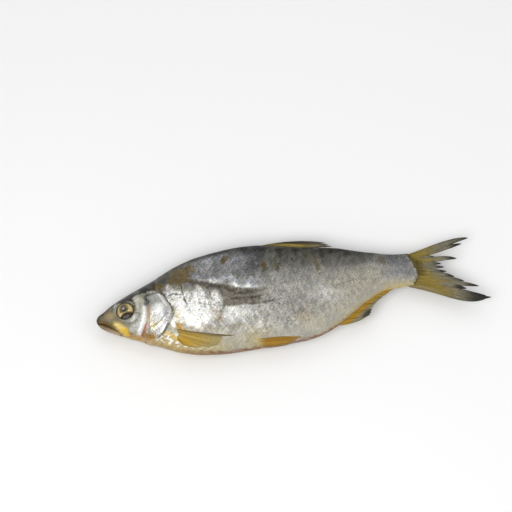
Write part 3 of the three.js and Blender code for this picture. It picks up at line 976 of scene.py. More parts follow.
sand = sand * mix(1.0, 0.6, ease(-rise, 0.5, 0.8)) * mix(1.0, 0.8, ease(x, 130, 165))
mottle = 0.08 + 0.75 * shoulder_silver_and_highlight + 0.55 * wedge_shade + 0.5 * front + 0.5 * glitter
mottle = mottle + 0.3 * upper_flank * (1 - ease(x, 90, 120))
outward = np.sign(z) * ease(np.abs(z), 0.3, 2.5)
trunk_points[:, 2] += outward * scale_domes(trunk_u, trunk_v) * raised * DOME_HEIGHT
piece(trunk_mesh, trunk_points, SKIN, {
    "scales": columns(trunk_u, trunk_v, 0.0),
    "paint": coat.rows_with(1.0),
    "finish": columns(silver, rough, raised),
    "marks": columns(net, sand, mottle),
})

# %% [markdown]
# ## The head's finish
# The head has no scales: thin skin lies straight on the bones, silvery on the cheek and gill cover and
# olive on top. Fine speckles and a satin gloss tell it from the trunk.

# %% The head's finish
def head_finish():
    finish = Finish("dried_head_skin", specular_ior_level=0.2)
    place = finish.place()
    silver, rough, speckle = finish.parts(finish.attribute("finish"))
    paint = finish.attribute("paint", "Color")
    fine = finish.noise(place, 1000.0, 3.0, 0.7)
    soft = finish.noise(place, 300.0, 4.0, 0.6)
    dots = finish.noise(place, 1300.0, 2.0, 0.7).step(0.5, 0.64)
    bright = (0.55 + fine * 0.9) * (0.8 + soft * 0.4) * (1 - dots * speckle * 0.45)
    relief = finish.bump(soft, 0.0005, 0.6)
    grain = finish.bump(fine, 0.0002, 0.6, under=relief)
    return finish.feed(
        base_color=finish.scaled(paint, bright),
        metallic=silver,
        roughness=rough + (soft - 0.5) * 0.25,
        normal=grain,
    )


HEAD_SKIN = head_finish()

# %% [markdown]
# ## The head
# A second ball becomes the head, from the snout to the rear edge of the gill cover. There the skin
# turns under in a round lip and closes inside the trunk, so the gill cover stands off the body as the
# dried bone does. The cheek plate, the sockets, the mouth and the nostrils are relief in the same skin.

# %% Places on the head
EYE_X = 18.8
EYE_Y = 1.3
SOCKET_RADIUS = 5.7
NOSTRIL = (11.4, 4.9, 1.9, 0.7, 54)
NOSTRIL_RIM = (13.2, 6.6, 2.2, 0.8, 54)
KNOB = (32.6, 2.7, 1.1, 1.1, 0)
MOUTH_LINE = [(-0.6, -1.5), (1.5, -2.1), (4.5, -3.9), (8.5, -6.8), (12.4, -9.5)]
UPPER_LIP = [(0.2, 0.0), (3.5, -1.9), (7.5, -4.6), (10.8, -6.9)]
JAW_FOLD = [(2.0, -4.6), (6.0, -7.6), (10.5, -10.4)]
OPERCLE_FRONT = [(34.3, 5.2), (33.2, -3.7), (32.2, -8.6), (30.6, -14.4)]
OPERCLE_CREASE = [(43.8, -7.6), (40.0, -11.0), (36.0, -12.8), (32.6, -13.5)]
TEMPLE_CREASE = [(35.3, 8.3), (32.9, 7.5), (33.1, 5.1), (33.8, 3.5), (31.9, 2.2)]
OPERCLE_TOP = [(36.8, 7.9), (39.8, 8.1), (42.3, 7.6), (43.4, 6.2)]
BELOW_EYE = [(12.0, -2.9), (16.5, -6.9), (22.0, -7.0), (26.2, -3.2), (27.6, 1.6)]
THROAT_LINE = [(12, -12.6), (20, -15.8), (28, -19.6), (34, -21.6)]
HEAD_LINES = [     # line, half width, height
    (MOUTH_LINE, 0.5, -1.7),
    (UPPER_LIP, 0.8, 0.35),
    (JAW_FOLD, 0.6, -0.25),
    (OPERCLE_FRONT, 0.5, -0.55),
    (OPERCLE_CREASE, 0.9, 0.3),
    (TEMPLE_CREASE, 0.6, -0.5),
    (OPERCLE_TOP, 0.45, -0.4),
    (BELOW_EYE, 0.6, -0.18),
    (THROAT_LINE, 0.6, -0.3),
]
print("the head's relief has", len(HEAD_LINES), "creases and folds")


# %% The head's relief
def plate(x, y, edge, low, high, lift, reach, groove):
    """A bony plate with a rear edge that stands off what is behind it, and a groove there."""
    ahead = edge(y) - x
    tall = ease(y, low, low + 3) * (1 - ease(y, high - 1.5, high + 0.5))
    raised = band(ahead, -0.2, 1.0, 2, reach)
    return tall * (lift * raised - groove * hill(ahead + 1.2, 0.9))


def head_relief(x, y, z):
    gill_cover = plate(x, y, lambda at: head_edge(at) + 0.8, -21.5, 9, 1.15, 15, 0)
    cheek = plate(x, y, cheek_edge, -16, 8, 0.6, 9, 0.45)
    brow = 0.5 * hill(x - EYE_X - 1, 8) * hill(y - EYE_Y - 7.2, 2.2)
    from_eye = np.hypot(x - EYE_X, y - EYE_Y)
    socket = 0.35 * hill(from_eye - SOCKET_RADIUS - 0.7, 0.8)
    socket = socket - 2.1 * (1 - ease(from_eye, SOCKET_RADIUS - 0.7, SOCKET_RADIUS + 0.15))
    nostril = 0.35 * mound(x, y, NOSTRIL_RIM) - 0.9 * mound(x, y, NOSTRIL)
    knob = 0.35 * mound(x, y, KNOB)
    lines = sum(tall * trace(x, y, points, wide) for points, wide, tall in HEAD_LINES)
    swell = 0.1 * cloud(x, y, z, 11, 5) * ease(x, 6, 14)
    nape = -0.5 * ease(x - head_edge(y), -2.5, 0) * (1 - gill_slit(y))
    return gill_cover + cheek + brow + socket + nostril + knob + lines + swell + nape


# %% The head's mesh
HEAD_AROUND = 256
HEAD_ALONG = 300
OUTSIDE_SHARE = 0.86       # the share of the rings that show
CURL_END = 0.25            # of the hidden rings: the lip curls, the skin runs in, then it closes
RUN_IN_END = 0.6
LIP_THICKNESS = 0.9
RUN_IN_DEPTH = 1.4
RUN_IN_LENGTH = 5.0
CLOSING_LENGTH = 2.0
CHEEK_CROWDING = 0.12
head_station = through([
    [0, 0], [0.02, 0.2], [0.06, 1.4], [0.14, 5.0], [0.82, HEAD_LENGTH - 4], [1, HEAD_LENGTH],
])
head_mesh, share, turn = balls("head", 1, HEAD_AROUND, HEAD_ALONG)
share = share[0]
turn = toward_flanks(turn[0], CHEEK_CROWDING)
head_points = skin_points(head_station(np.clip(share / OUTSIDE_SHARE, 0, 1)), turn, head_relief)
inside = np.clip((share - OUTSIDE_SHARE) / (1 - OUTSIDE_SHARE), 0, 1)
curl = np.clip(inside / CURL_END, 0, 1) * np.pi
run_in = np.clip((inside - CURL_END) / (RUN_IN_END - CURL_END), 0, 1)
close = np.clip((inside - RUN_IN_END) / (1 - RUN_IN_END), 0, 1)
deep = LIP_THICKNESS / 2 * (1 - np.cos(curl)) + RUN_IN_DEPTH * run_in
core = middle(head_points[:, 0])
off_core = np.maximum(np.hypot(head_points[:, 1] - core, head_points[:, 2]), 1.0)
shrink = (1 - deep / off_core) * (1 - close)
head_points[:, 0] += LIP_THICKNESS / 2 * np.sin(curl)
head_points[:, 0] -= RUN_IN_LENGTH * run_in + CLOSING_LENGTH * close
head_points[:, 1] = mix(core, head_points[:, 1], shrink)
head_points[:, 2] = head_points[:, 2] * shrink
print("the head runs from", head_points[:, 0].min().round(1), "to", head_points[:, 0].max().round(1))

# %% [markdown]
# ## The head's colour
# The cheek and gill cover are polished silver, with painted highlights on the gill cover, the top is
# dark, the jaw and throat are stained yellow to orange by oil that has dried on them, and the socket's
# floor, the nostrils and the deepest creases are painted nearly black as their shade.

# %% The head's palette
HEAD_DARK = (52, 50, 45)
HEAD_GREY = (112, 111, 108)
HEAD_OLIVE = (98, 87, 54)
SNOUT_GREY = (156, 140, 106)
CHEEK_GREY = (146, 145, 133)
CHEEK_SILVER = (190, 191, 183)
PLATE_OLIVE = (208, 206, 186)
WHITE_BONE_AND_HIGHLIGHT = (252, 252, 250)
LILAC_BONE = (170, 167, 173)
CREAM_BONE = (212, 200, 158)
JAW_BROWN = (108, 78, 38)
LIP_BROWN = (114, 88, 46)
TAN = (182, 158, 128)
OIL_YELLOW = (234, 208, 128)
BRIGHT_YELLOW = (224, 182, 46)
OIL_ORANGE = (172, 124, 46)
THROAT_PEACH = (188, 154, 92)
GILL_RED = (136, 82, 58)
GILL_PINK = (176, 118, 98)
BLACK_AND_PAINTED_SHADE = (30, 23, 14)

# %% The snout, the cheek plate and the dark top
SNOUT_SPOT = (9.2, 0.6, 3.4, 2.4, 0)
PLATE_SPOT = (27.9, 3.2, 4.2, 5.4, 14)
TEMPLE_SPOT = (26.6, 8.2, 2.0, 1.2, 40)
PLATE_SHADE = (29.3, 2.0, 1.8, 3.4, 8)
dark_top_height = through([
    [0, 0.6], [5, 3.0], [9, 5.2], [12, 6.4], [15, 6.8], [21, 6.6], [24, 7.2], [25.6, 9.2], [28, 10.0],
    [31, 10.2], [34, 9.8], [37, 10.9], [40.3, 9.6], [44, 8.4],
])
x, y, z = head_points.T
blot = cloud(x, y, z, 9, 31)
fine = cloud(x, y, z, 3.2, 32)
tiny = cloud(x, y, z, 1.9, 33)
top = y - dark_top_height(x)
coat = Coat(CHEEK_GREY, x, y)
coat.lay(HEAD_OLIVE, (1 - ease(x + 0.7 * y, 10, 15)) * (0.85 + 0.2 * blot))
coat.spot(SNOUT_GREY, 1.0, SNOUT_SPOT, 0.6)
coat.lay(CHEEK_SILVER, ease(x, 19, 25) * ease(-y, 0.5, 4.0) * (0.8 + 0.3 * fine))
coat.spot(PLATE_OLIVE, 0.85 + 0.2 * fine, PLATE_SPOT, 0.35)
coat.spot(CHEEK_SILVER, 0.8, TEMPLE_SPOT, 0.5)
coat.spot(HEAD_GREY, 0.5, PLATE_SHADE, 0.7)
coat.lay(HEAD_DARK, ease(top + 0.5 * fine, -0.7, 1.0))
coat.lay(HEAD_GREY, 0.75 * ease(top, 1.0, 2.4) * ease(x, 20, 27) * ease(blot, -0.4, 0.7))
print("the dark top covers", round(100 * (top > 0).mean()), "% of the head")

# %% The gill cover
LILAC_RIM = [(44.6, -6.0), (43.8, -10.2), (40.8, -13.7), (36.6, -16.3)]
PALE_STREAK = [(33.6, -13.0), (36.4, -12.1), (39.9, -10.7)]
GILL_COVER_SPOTS = [    # colour, amount, spot, softness
    (HEAD_GREY, 0.25, (35.4, 2.8, 2.4, 2.6, -40), 0.8),
    (HEAD_GREY, 0.25, (40.8, 2.6, 3.0, 2.2, -50), 0.8),
    # The gill cover's white middle is partly white bone and partly a painted highlight.
    (WHITE_BONE_AND_HIGHLIGHT, 1.0, (38.2, -6.2, 4.6, 6.8, -22), 0.4),
    (CHEEK_SILVER, 0.8, (34.8, -15.0, 4.4, 3.6, -30), 0.5),
    (CREAM_BONE, 0.5, (34.6, -9.5, 1.7, 7.5, -6), 0.6),
]
NAPE_SPOTS = [
    (NAPE_BROWN, 0.9, (41.4, 12.4, 4.6, 2.4, 12), 0.5),
    (CHEEK_SILVER, 0.9, (37.4, 9.6, 2.6, 0.9, -8), 0.4),
    (BLACK_AND_PAINTED_SHADE, 0.8, (38.0, 9.7, 0.5, 0.5, 0), 0.4),
]
opercle = ease(x - cheek_edge(y), 1.2, 2.4) * (1 - ease(y, 7.4, 8.6)) * ease(y, -24, -19)
coat.lay(CHEEK_SILVER, opercle)
for colour, amount, spot, soft in GILL_COVER_SPOTS:
    coat.spot(colour, amount * opercle, spot, soft)
coat.trace(LILAC_BONE, 0.85 * opercle, LILAC_RIM, 1.9)
coat.trace(OIL_YELLOW, 0.5 * opercle, PALE_STREAK, 0.9)
for colour, amount, spot, soft in NAPE_SPOTS:
    coat.spot(colour, amount, spot, soft)
# A painted highlight along the gill cover's rounded rim.
coat.lay(WHITE_BONE_AND_HIGHLIGHT, 0.7 * opercle * hill(x - head_edge(y) + 1.6, 0.6) * ease(y, -4, 0))
print("the gill cover is", (x[opercle > 0.5].max() - x[opercle > 0.5].min()).round(1), "mm long")

# %% The jaw and the throat
CHIN_LINE = [(1.1, -3.4), (4.2, -5.9), (8.2, -8.7), (12.5, -11.2)]
YELLOW_JAW = [(11.6, -6.2), (14.0, -8.2), (16.8, -10.8)]
YELLOW_SPOT = (16.6, -10.8, 3.2, 1.3, -34)
SILVER_JAW_SPOT = (21.6, -11.4, 2.6, 1.3, -20)
RED_SPOT = (28.9, -12.6, 1.2, 3.2, -16)
jaw = ease(-y - 0.76 * x, 0.2, 1.2) * (1 - ease(x, 12, 16))
throat = ease(-y - 0.48 * x, 3.2, 5.0) * ease(x, 13, 18) * (1 - opercle)
coat.lay(JAW_BROWN, jaw * (0.85 + 0.3 * fine))
coat.lay(HEAD_DARK, 0.4 * jaw * ease(tiny, 0.1, 0.5))
coat.trace(TAN, mix(0.35, 0.85, ease(x, 4, 9)) * jaw, CHIN_LINE, 0.9)
coat.lay(THROAT_PEACH, throat * (0.9 + 0.2 * fine))
coat.lay(THROAT_PEACH, 0.8 * opercle * ease(-y, 15.5, 19.5) * (1 - ease(x, 33, 37)))
coat.trace(OIL_YELLOW, 0.9 * (1 - 0.8 * jaw), YELLOW_JAW, 2.0)
coat.spot(BRIGHT_YELLOW, 0.9 * (0.9 + 0.3 * fine), YELLOW_SPOT, 0.8)
coat.spot(CHEEK_SILVER, 0.8, SILVER_JAW_SPOT, 0.5)
coat.spot(GILL_RED, 0.75, RED_SPOT, 0.5)
print("oil stains", round(100 * (throat > 0.5).mean()), "% of the head")

# %% The head's fine lines
ORANGE_THROAT = [(24.6, -15.2), (28.4, -16.2), (32.6, -18.4)]
SOCKET_SHADE = [(24.9, 0.4), (25.1, 3.6), (24.5, 6.6), (21.6, 8.0), (17.2, 8.2)]
WHITE_CHEEK_RIM = [(31.4, 1.3), (30.8, -1.6), (30.0, -5.4), (29.0, -8.7), (27.4, -11.3), (25.2, -13.9)]
TAN_STRIPE = [(33.5, 1.1), (32.7, -2.8), (32.0, -6.6), (31.1, -9.8)]
PINK_STRIPE = [(30.5, -10.4), (29.4, -12.8), (27.8, -14.4)]
CHEEK_ARC = [(24.0, -1.7), (26.6, -2.0), (27.7, -3.6), (26.6, -5.3), (24.4, -6.7)]
SPECKLED_ARC = [(16.6, -5.8), (20.4, -7.5), (23.6, -7.7), (25.6, -7.0)]
HEAD_MARKS = [    # line, half width, colour, amount
    (ORANGE_THROAT, 2.0, OIL_ORANGE, 0.9),
    (SOCKET_SHADE, 1.2, HEAD_DARK, 0.95),
    (WHITE_CHEEK_RIM, 1.3, WHITE_BONE_AND_HIGHLIGHT, 1.0),
    (TAN_STRIPE, 1.1, TAN, 0.85),
    (PINK_STRIPE, 1.0, GILL_PINK, 0.9),
    (TEMPLE_CREASE, 1.5, HEAD_DARK, 0.9),
    # Painted shade in the groove along the gill cover's top.
    (OPERCLE_TOP, 0.5, BLACK_AND_PAINTED_SHADE, 0.85),
    (UPPER_LIP, 0.8, LIP_BROWN, 0.85),
    # Painted shade in the mouth's groove.
    (MOUTH_LINE, 0.38, BLACK_AND_PAINTED_SHADE, 0.85),
    (CHEEK_ARC, 0.4, HEAD_OLIVE, 0.7),
    (SPECKLED_ARC, 0.5, HEAD_GREY, 0.7),
]
BRIDGE_SPOT = (9.4, 7.2, 4.4, 1.8, 42)
for points, wide, colour, amount in HEAD_MARKS:
    coat.trace(colour, amount * (0.9 + 0.2 * tiny), points, wide)
coat.lay(BLACK_AND_PAINTED_SHADE, 0.75 * (1 - ease(x, 0.6, 3.0)) * ease(y, -1.8, -0.4))
coat.spot(HEAD_OLIVE, 0.6, BRIDGE_SPOT, 0.6)
# The nostril's pit is painted black as its shade.
coat.lay(BLACK_AND_PAINTED_SHADE, 0.8 * mound(x, y, NOSTRIL))
coat.lay(CHEEK_SILVER, 0.75 * mound(x, y, NOSTRIL_RIM))
coat.lay(HEAD_GREY, 0.8 * hill(off_spot(x, y, KNOB) - 1, 0.5))
from_eye = np.hypot(x - EYE_X, y - EYE_Y)
# The socket's floor under the eye is painted black as its shade.
coat.lay(BLACK_AND_PAINTED_SHADE, 1 - ease(from_eye, SOCKET_RADIUS - 0.2, SOCKET_RADIUS + 0.4))
# The skin that turns under the gill cover's lip is painted dark as the shade in the gap.
coat.lay(BLACK_AND_PAINTED_SHADE, 0.7 * ease(inside, 0.1, 0.3))
print(len(HEAD_MARKS), "fine lines drawn on the head")

# %% The head's sheen
silver = 0.12 + 0.4 * opercle + 0.2 * ease(x, 20, 26) * ease(-y, 1.0, 5.0)
silver = silver * (1 - throat) * (1 - ease(top, -1, 1))
rough = 0.36 - 0.08 * opercle + 0.1 * throat
speckle = band(x, 15, 19, 27, 30) * ease(-y, 1, 4) + 0.5 * opercle * ease(y, -3, 3)
piece(head_mesh, head_points, HEAD_SKIN, {
    "paint": coat.rows_with(1.0),
    "finish": columns(silver, rough, np.clip(speckle + 0.25, 0, 1)),
})

# %% [markdown]
# ## The eyes
# A dried eye keeps its gold ring and clouded pupil, but it has shrunk: its lower rear part has fallen
# in and left a hollow, painted black as its shade with a little brown. Each eye is a flattened ball,
# tilted with the cheek, with a dent there, and its rim is painted black as the shade of the gap round it.

# %% The eye's finish
def eye_finish():
    finish = Finish("dried_eye", coat_roughness=0.08, specular_ior_level=0.3)
    place = finish.place()
    paint = finish.attribute("paint", "Color")
    metal, rough, gloss = finish.parts(finish.attribute("finish"))
    fleck = finish.noise(place, 1500.0, 3.0, 0.6)
    soft = finish.noise(place, 420.0, 2.0)
    relief = finish.bump(soft, 0.0006, 0.45)
    return finish.feed(
        base_color=finish.scaled(paint, 0.8 + fleck * 0.4),
        metallic=metal,
        roughness=rough + (fleck - 0.5) * 0.2,
        coat_weight=gloss,
        normal=relief,
    )


EYE_GLOSS = eye_finish()

# %% The eye's sizes and colours
EYE_AROUND = 96
EYE_ALONG = 72
EYE_RADIUS = 5.6
EYE_DOME = 2.4
EYE_SUNK = 1.6
PUPIL = (-0.6, 1.2)           # off the eye's centre: a little forwards, and up
PUPIL_RADIUS = 2.0
DENT = (1.0, -4.3, 5.4, 2.9, 4)
DENT_DEPTH = 1.9
PUPIL_DEPTH = 0.35
GOLD_SPOT = (3.0, 1.8, 2.0, 2.8, 20)
GLEAM_SPOT = (-0.8, 1.7, 0.9, 0.6, 30)
GOLD = (216, 198, 140)
OLD_GOLD = (150, 130, 82)
CLOUDED = (58, 53, 42)
PUPIL_GLEAM = (200, 200, 194)
HOLLOW_BROWN = (96, 70, 52)
print("each eye is", 2 * EYE_RADIUS, "mm across and lies", EYE_SUNK, "mm deep")


# %% The eyes
def flank_slope(x, y, step=0.5):
    """How much the flank rises for each millimetre back and up."""
    back_rise = flank_height(x + step, y) - flank_height(x - step, y)
    up_rise = flank_height(x, y + step) - flank_height(x, y - step)
    return back_rise / (2 * step), up_rise / (2 * step)


def eye_paint(across, up, height, dent, from_pupil):
    ring = np.hypot(across, up)
    fine = cloud(across, up, height, 1.6, 41)
    small = cloud(across, up, height, 0.9, 42)
    coat = Coat(OLD_GOLD, across, up)
    coat.lay(GOLD, (0.85 + 0.25 * fine) * hill(ring - 4.3, 1.1) * ease(2.2 - up - across, 0, 2.5))
    coat.spot(GOLD, 0.8 + 0.4 * small, GOLD_SPOT, 0.5)
    coat.lay(BLACK_AND_PAINTED_SHADE, 0.75 * hill(from_pupil - PUPIL_RADIUS - 0.5, 0.45) * (1 - dent))
    coat.lay(CLOUDED, 1 - ease(from_pupil, PUPIL_RADIUS - 0.3, PUPIL_RADIUS + 0.25))
    coat.spot(PUPIL_GLEAM, 0.7, GLEAM_SPOT, 0.7)
    # The eye's rim and the dent are painted black as shade.
    coat.lay(BLACK_AND_PAINTED_SHADE, ease(ring, EYE_RADIUS - 0.35, EYE_RADIUS - 0.1))
    coat.lay(BLACK_AND_PAINTED_SHADE, ease(dent, 0.3, 0.55))
    coat.lay(HOLLOW_BROWN, 0.7 * ease(dent, 0.5, 0.7) * ease(small, 0.25, 0.7))
    return coat.rows_with(1.0)


def eye(name, side):
    mesh, share, turn = balls(name, 1, EYE_AROUND, EYE_ALONG)
    slant = share[0] * np.pi
    turn = turn[0] * side
    across = np.sin(slant) * np.cos(turn) * EYE_RADIUS
    up = np.sin(slant) * np.sin(turn) * EYE_RADIUS
    dent = np.exp(-off_spot(across, up, DENT) ** 4)
    from_pupil = np.hypot(across - PUPIL[0], up - PUPIL[1])
    height = np.cos(slant) * EYE_DOME
    sunk = DENT_DEPTH * dent + PUPIL_DEPTH * (1 - ease(from_pupil, 1.4, 2.6))
    height = height - ease(height, 0.0, 0.6) * sunk
    slope_x, slope_y = flank_slope(EYE_X, EYE_Y)
    lean = slope_x * across + slope_y * up
    z = side * (flank_height(EYE_X, EYE_Y) - EYE_SUNK + lean + height)
    metal = 0.5 * (1 - ease(dent, 0.2, 0.6)) * ease(from_pupil, 2.0, 2.6)
    gloss = 0.5 * (1 - ease(dent, 0.1, 0.4))
    return piece(mesh, np.stack((EYE_X + across, EYE_Y + up, z), axis=-1), EYE_GLOSS, {
        "paint": eye_paint(across, up, height, dent, from_pupil),
        "finish": columns(metal, 0.3, gloss),
    })


eye("eye_left", LEFT)
eye("eye_right", RIGHT)

# %% [markdown]
# ## The fins' finish
# A dry fin is a thin web stretched on hard rays. The rays run along each blade, so the streaks follow
# the blade's own coordinates: across it and along it. Fine noise over them gives the dry, dusty grain.

# %% The fins' finish
def fin_finish():
    finish = Finish("dried_fin", specular_ior_level=0.25)
    place = finish.place()
    across, along, number = finish.parts(finish.attribute("rays"))
    paint = finish.attribute("paint", "Color")
    ribbed = finish.attribute("paint", "Alpha")
    drawn_out = finish.joined(across * 3.4 + number * 17.3, along * 2.5, number)
    streak = finish.noise(drawn_out, 1.6, 3.0, 0.6)
    fine = finish.noise(place, 1100.0, 3.0, 0.7)
    valley = across * across
    joints = finish.node("ShaderNodeMath", {"operation": "SINE"}, [along * 260.0 + streak * 6.0])
    ribs = ribbed * (0.15 - valley * 0.65) + ribbed * (streak - 0.5) * 1.6
    bright = (1 + ribs) * (0.5 + fine * 1.0)
    height = streak + fine * 0.3 + joints * 0.04
    return finish.feed(
        base_color=finish.scaled(paint, bright),
        roughness=0.42 + streak * 0.2,
        normal=finish.bump(height, 0.0004, 0.6),
    )


FIN_SKIN = fin_finish()
FIN_GOLD = (150, 131, 62)
FIN_GREY = (124, 119, 100)
FIN_BLACK = (36, 35, 31)

# %% [markdown]
# ## Fins from rays
# Every fin is a set of tapered blades on bowed lines of the side view, as in the solid. A blade starts
# as a ball like every other form here, drawn out along its line, so hundreds of them can be made at once
# with numpy and every one is closed.

# %% Fins from rays
RAY_AROUND = 12
RAY_ALONG = 64
TIP_THICKNESS = 0.35
RAY_NUMBER_STEP = 0.37     # each ray's number, which its streaks and stripes read, is this much on
blade_bulge = through([[0, 0.55], [0.3, 0.85], [0.55, 1.0], [0.8, 0.78], [0.95, 0.34], [1, 0]])
ray_taper = through([[0, 0.85], [0.4, 1.0], [0.75, 0.8], [0.94, 0.34], [1, 0]])


def bow_line(root, tip, bow, skew, share):
    """Points of a bowed line of the side view, and the unit direction across it."""
    run = tip - root
    aside = np.stack((-run[..., 1], run[..., 0]), axis=-1) / np.linalg.norm(run, axis=-1)[..., None]
    bulge = bow * share ** skew * (1 - share) * (skew + 1) ** (skew + 1) / skew ** skew
    return root + run * share[..., None] + aside * bulge[..., None], aside


def fin(name, rays, paint_at, ribbed, lift=None):
    """rays is a list of dicts: root, tip, bow, skew, width, thick, offset across the blade, blade width
    and the share where the ray ends, raise, its height, and web, 1 where it's a broad web. ribbed says
    how strongly the rays show in the colour. lift(x, y, at) gives the height of the fin's middle."""
    mesh, share, turn = balls(name, len(rays), RAY_AROUND, RAY_ALONG)
    pick = {key: np.array([ray[key] for ray in rays], float) for key in rays[0]}
    wide = {key: value[:, None] for key, value in pick.items() if value.ndim == 1}
    root = pick["root"][:, None, :]
    tip = pick["tip"][:, None, :]
    at = share * wide["end"]
    line, aside = bow_line(root, tip, wide["bow"], wide["skew"], at)
    body = mix(ray_taper(share), blade_bulge(share), wide["web"]) * np.minimum(1, share * 40)
    shift = wide["offset"] * wide["blade"] * blade_bulge(at)
    shift = shift + np.cos(turn) * wide["width"] / 2 * body
    flat = line + aside * shift[..., None]
    x = flat[..., 0].ravel()
    y = flat[..., 1].ravel()
    thick = np.sin(turn) * mix(wide["thick"], TIP_THICKNESS, at) / 2 * body + wide["raise"]
    at = at.ravel()
    z = thick.ravel() + (lift(x, y, at) if lift else 0)
    number = np.broadcast_to(np.arange(len(rays))[:, None] * RAY_NUMBER_STEP, share.shape).ravel()
    return piece(mesh, np.stack((x, y, z), axis=-1), FIN_SKIN, {
        "paint": paint_at(x, y, at, number).rows_with(ribbed),
        "rays": columns(np.cos(turn).ravel(), at, number),
    })


# %% [markdown]
# ## The tail
# Fourteen ragged blades, the longest at the two lobes. Their roots lie under the last scales, and their
# dry tips stand apart as points. Each blade is a broad thin web with fine rays on it, which end at
# lengths of their own, so that the fin's end comes out ragged. The order of the random draws is fixed
# by a seed for each blade.

# %% The tail's blades
TAIL_ROOT = 199
FINE_RAYS = 5
FINE_RAY_WIDTH = 0.5
TAIL_THICKNESS = 1.5
FIRST_SEED = 100
TAIL_BLADES = [    # root height, tip, width, bow
    (7.2, (243.4, 13.0), 4.0, 0.9),
    (5.6, (238.4, 9.9), 3.6, 0.4),
    (5.2, (219.5, 4.4), 3.4, 0.2),
    (4.0, (233.4, 0.5), 3.7, 0.9),
    (2.6, (222.8, -1.0), 2.8, 0.2),
    (1.2, (224.4, -3.6), 2.8, 0.0),
    (-0.4, (225.4, -6.9), 2.8, 0.0),
    (-2.0, (229.6, -11.4), 3.4, 0.7),
    (-3.8, (235.2, -15.4), 3.2, 0.6),
    (-5.4, (243.8, -20.4), 3.6, 0.2),
    (-6.8, (235.5, -20.6), 4.6, 0.3),
    (-8.6, (247.0, -27.6), 4.8, -0.8),
    (-10.2, (250.0, -29.0), 4.8, -1.8),
    (-11.6, (246.5, -29.4), 3.6, -2.6),
]


def split_blade(blade, seed):
    """One blade: a broad thin web that ends in a point, and fine rays that lie on it."""
    random = np.random.default_rng(seed)
    web = {"offset": 0.0, "blade": 0.0, "end": 1.0, "thick": TAIL_THICKNESS * 0.6, "raise": 0.0, "web": 1.0}
    rays = [{**blade, **web}]
    for i in range(FINE_RAYS):
        offset = mix(-0.34, 0.34, i / (FINE_RAYS - 1))
        end = 1 - abs(offset) * random.uniform(0.1, 0.7)
        width = FINE_RAY_WIDTH * random.uniform(0.8, 1.2)
        rays.append({
            **blade, "offset": offset, "blade": blade["width"], "width": width, "end": end,
            "thick": TAIL_THICKNESS, "raise": random.uniform(-0.02, 0.12), "web": 0.0,
        })
    return rays


def tail_rays():
    rays = []
    for i, (root, tip, width, bow) in enumerate(TAIL_BLADES):
        blade = {"root": (TAIL_ROOT, root), "tip": tip, "width": width, "bow": bow, "skew": 3}
        rays += split_blade(blade, FIRST_SEED + i)
    return rays


# %% The tail
LOWER_ROOT_TAN = (150, 134, 96)


def tail_paint(x, y, along, number):
    blot = cloud(x, y, number * 9, 12, 51)
    fine = cloud(x, y, number * 9, 4, 52)
    coat = Coat(FIN_OLIVE, x, y)
    lobes = ease(np.abs(y + 1.5), 3.5, 8)
    coat.lay(FIN_GOLD, ease(x + 2 * fine + 7 * lobes, 208, 214) * (0.9 + 0.2 * blot))
    upper = ease(y - 0.12 * (x - 200), 4.5, 7.5)
    coat.lay(FIN_GREY, ease(along + 0.07 * blot + 0.1 * upper, 0.4, 0.66))
    coat.lay(FIN_BLACK, 0.95 * ease(along + 0.06 * blot, 0.72, 0.92))
    lower_root = ease(-y - 0.42 * (x - 205), 11.6, 13.4) * (1 - ease(x, 212, 222))
    coat.lay(LOWER_ROOT_TAN, 0.8 * lower_root)
    coat.lay(FIN_BLACK, 0.8 * ease(x, 227, 240) * ease(-y, 17, 22))
    coat.lay(FIN_BLACK, 0.5 * ease(fine + upper * 0.2, 0.5, 0.9) * ease(along, 0.3, 0.6))
    return coat


fin("tail_fin", tail_rays(), tail_paint, 1.0)

# %% [markdown]
# ## The back fin and the anal fin
# Both have dried folded back: the rays lie one on another along the body's edge, so each fin is a low
# strip with a free point at its rear.

# %% Fans of rays
def spread(count, root_at, tip_at, options):
    """count rays from the first to the last share of a fan: options(share, i) gives each its form."""
    rays = []
    for i in range(count):
        share = i / (count - 1)
        rays.append({
            "root": root_at(share), "tip": tip_at(share), "skew": 1, "offset": 0.0, "blade": 0.0,
            "end": 1.0, "raise": 0.0, "web": 0.0, **options(share, i),
        })
    return rays


# %% The back fin
BACK_FIN_OLIVE = (112, 98, 50)
BACK_FIN_GLOW = (131.0, 28.6, 8.0, 2.4, -10)
back_tip_x = through([[0, 153.5], [0.2, 156.8], [1, 147]])
back_tip_y = through([[0, 26.0], [0.2, 23.0], [1, 24.2]])


def back_fin_rays():
    return spread(
        13,
        lambda s: (mix(106, 138, s), back(mix(106, 138, s)) - 1.4),
        lambda s: (float(back_tip_x(s)), float(back_tip_y(s))),
        lambda s, i: {"width": mix(1.7, 1.9, s), "bow": mix(2.2, 1.0, s), "thick": 1.1,
                      "raise": 0.25 * math.sin(i * 2.4)},
    )


def back_fin_paint(x, y, along, number):
    coat = Coat(BACK_FIN_OLIVE, x, y)
    coat.spot(FIN_GOLD, 0.8, BACK_FIN_GLOW, 0.7)
    coat.lay(FIN_GREY, 0.6 * ease(x, 138, 148))
    coat.lay(FIN_BLACK, 0.9 * ease(y - back(x), 1.9, 2.7) * (1 - 0.4 * ease(x, 135, 150)))
    coat.lay(FIN_BLACK, 0.85 * ease(along, 0.8, 0.95))
    return coat


fin("back_fin", back_fin_rays(), back_fin_paint, 0.8)

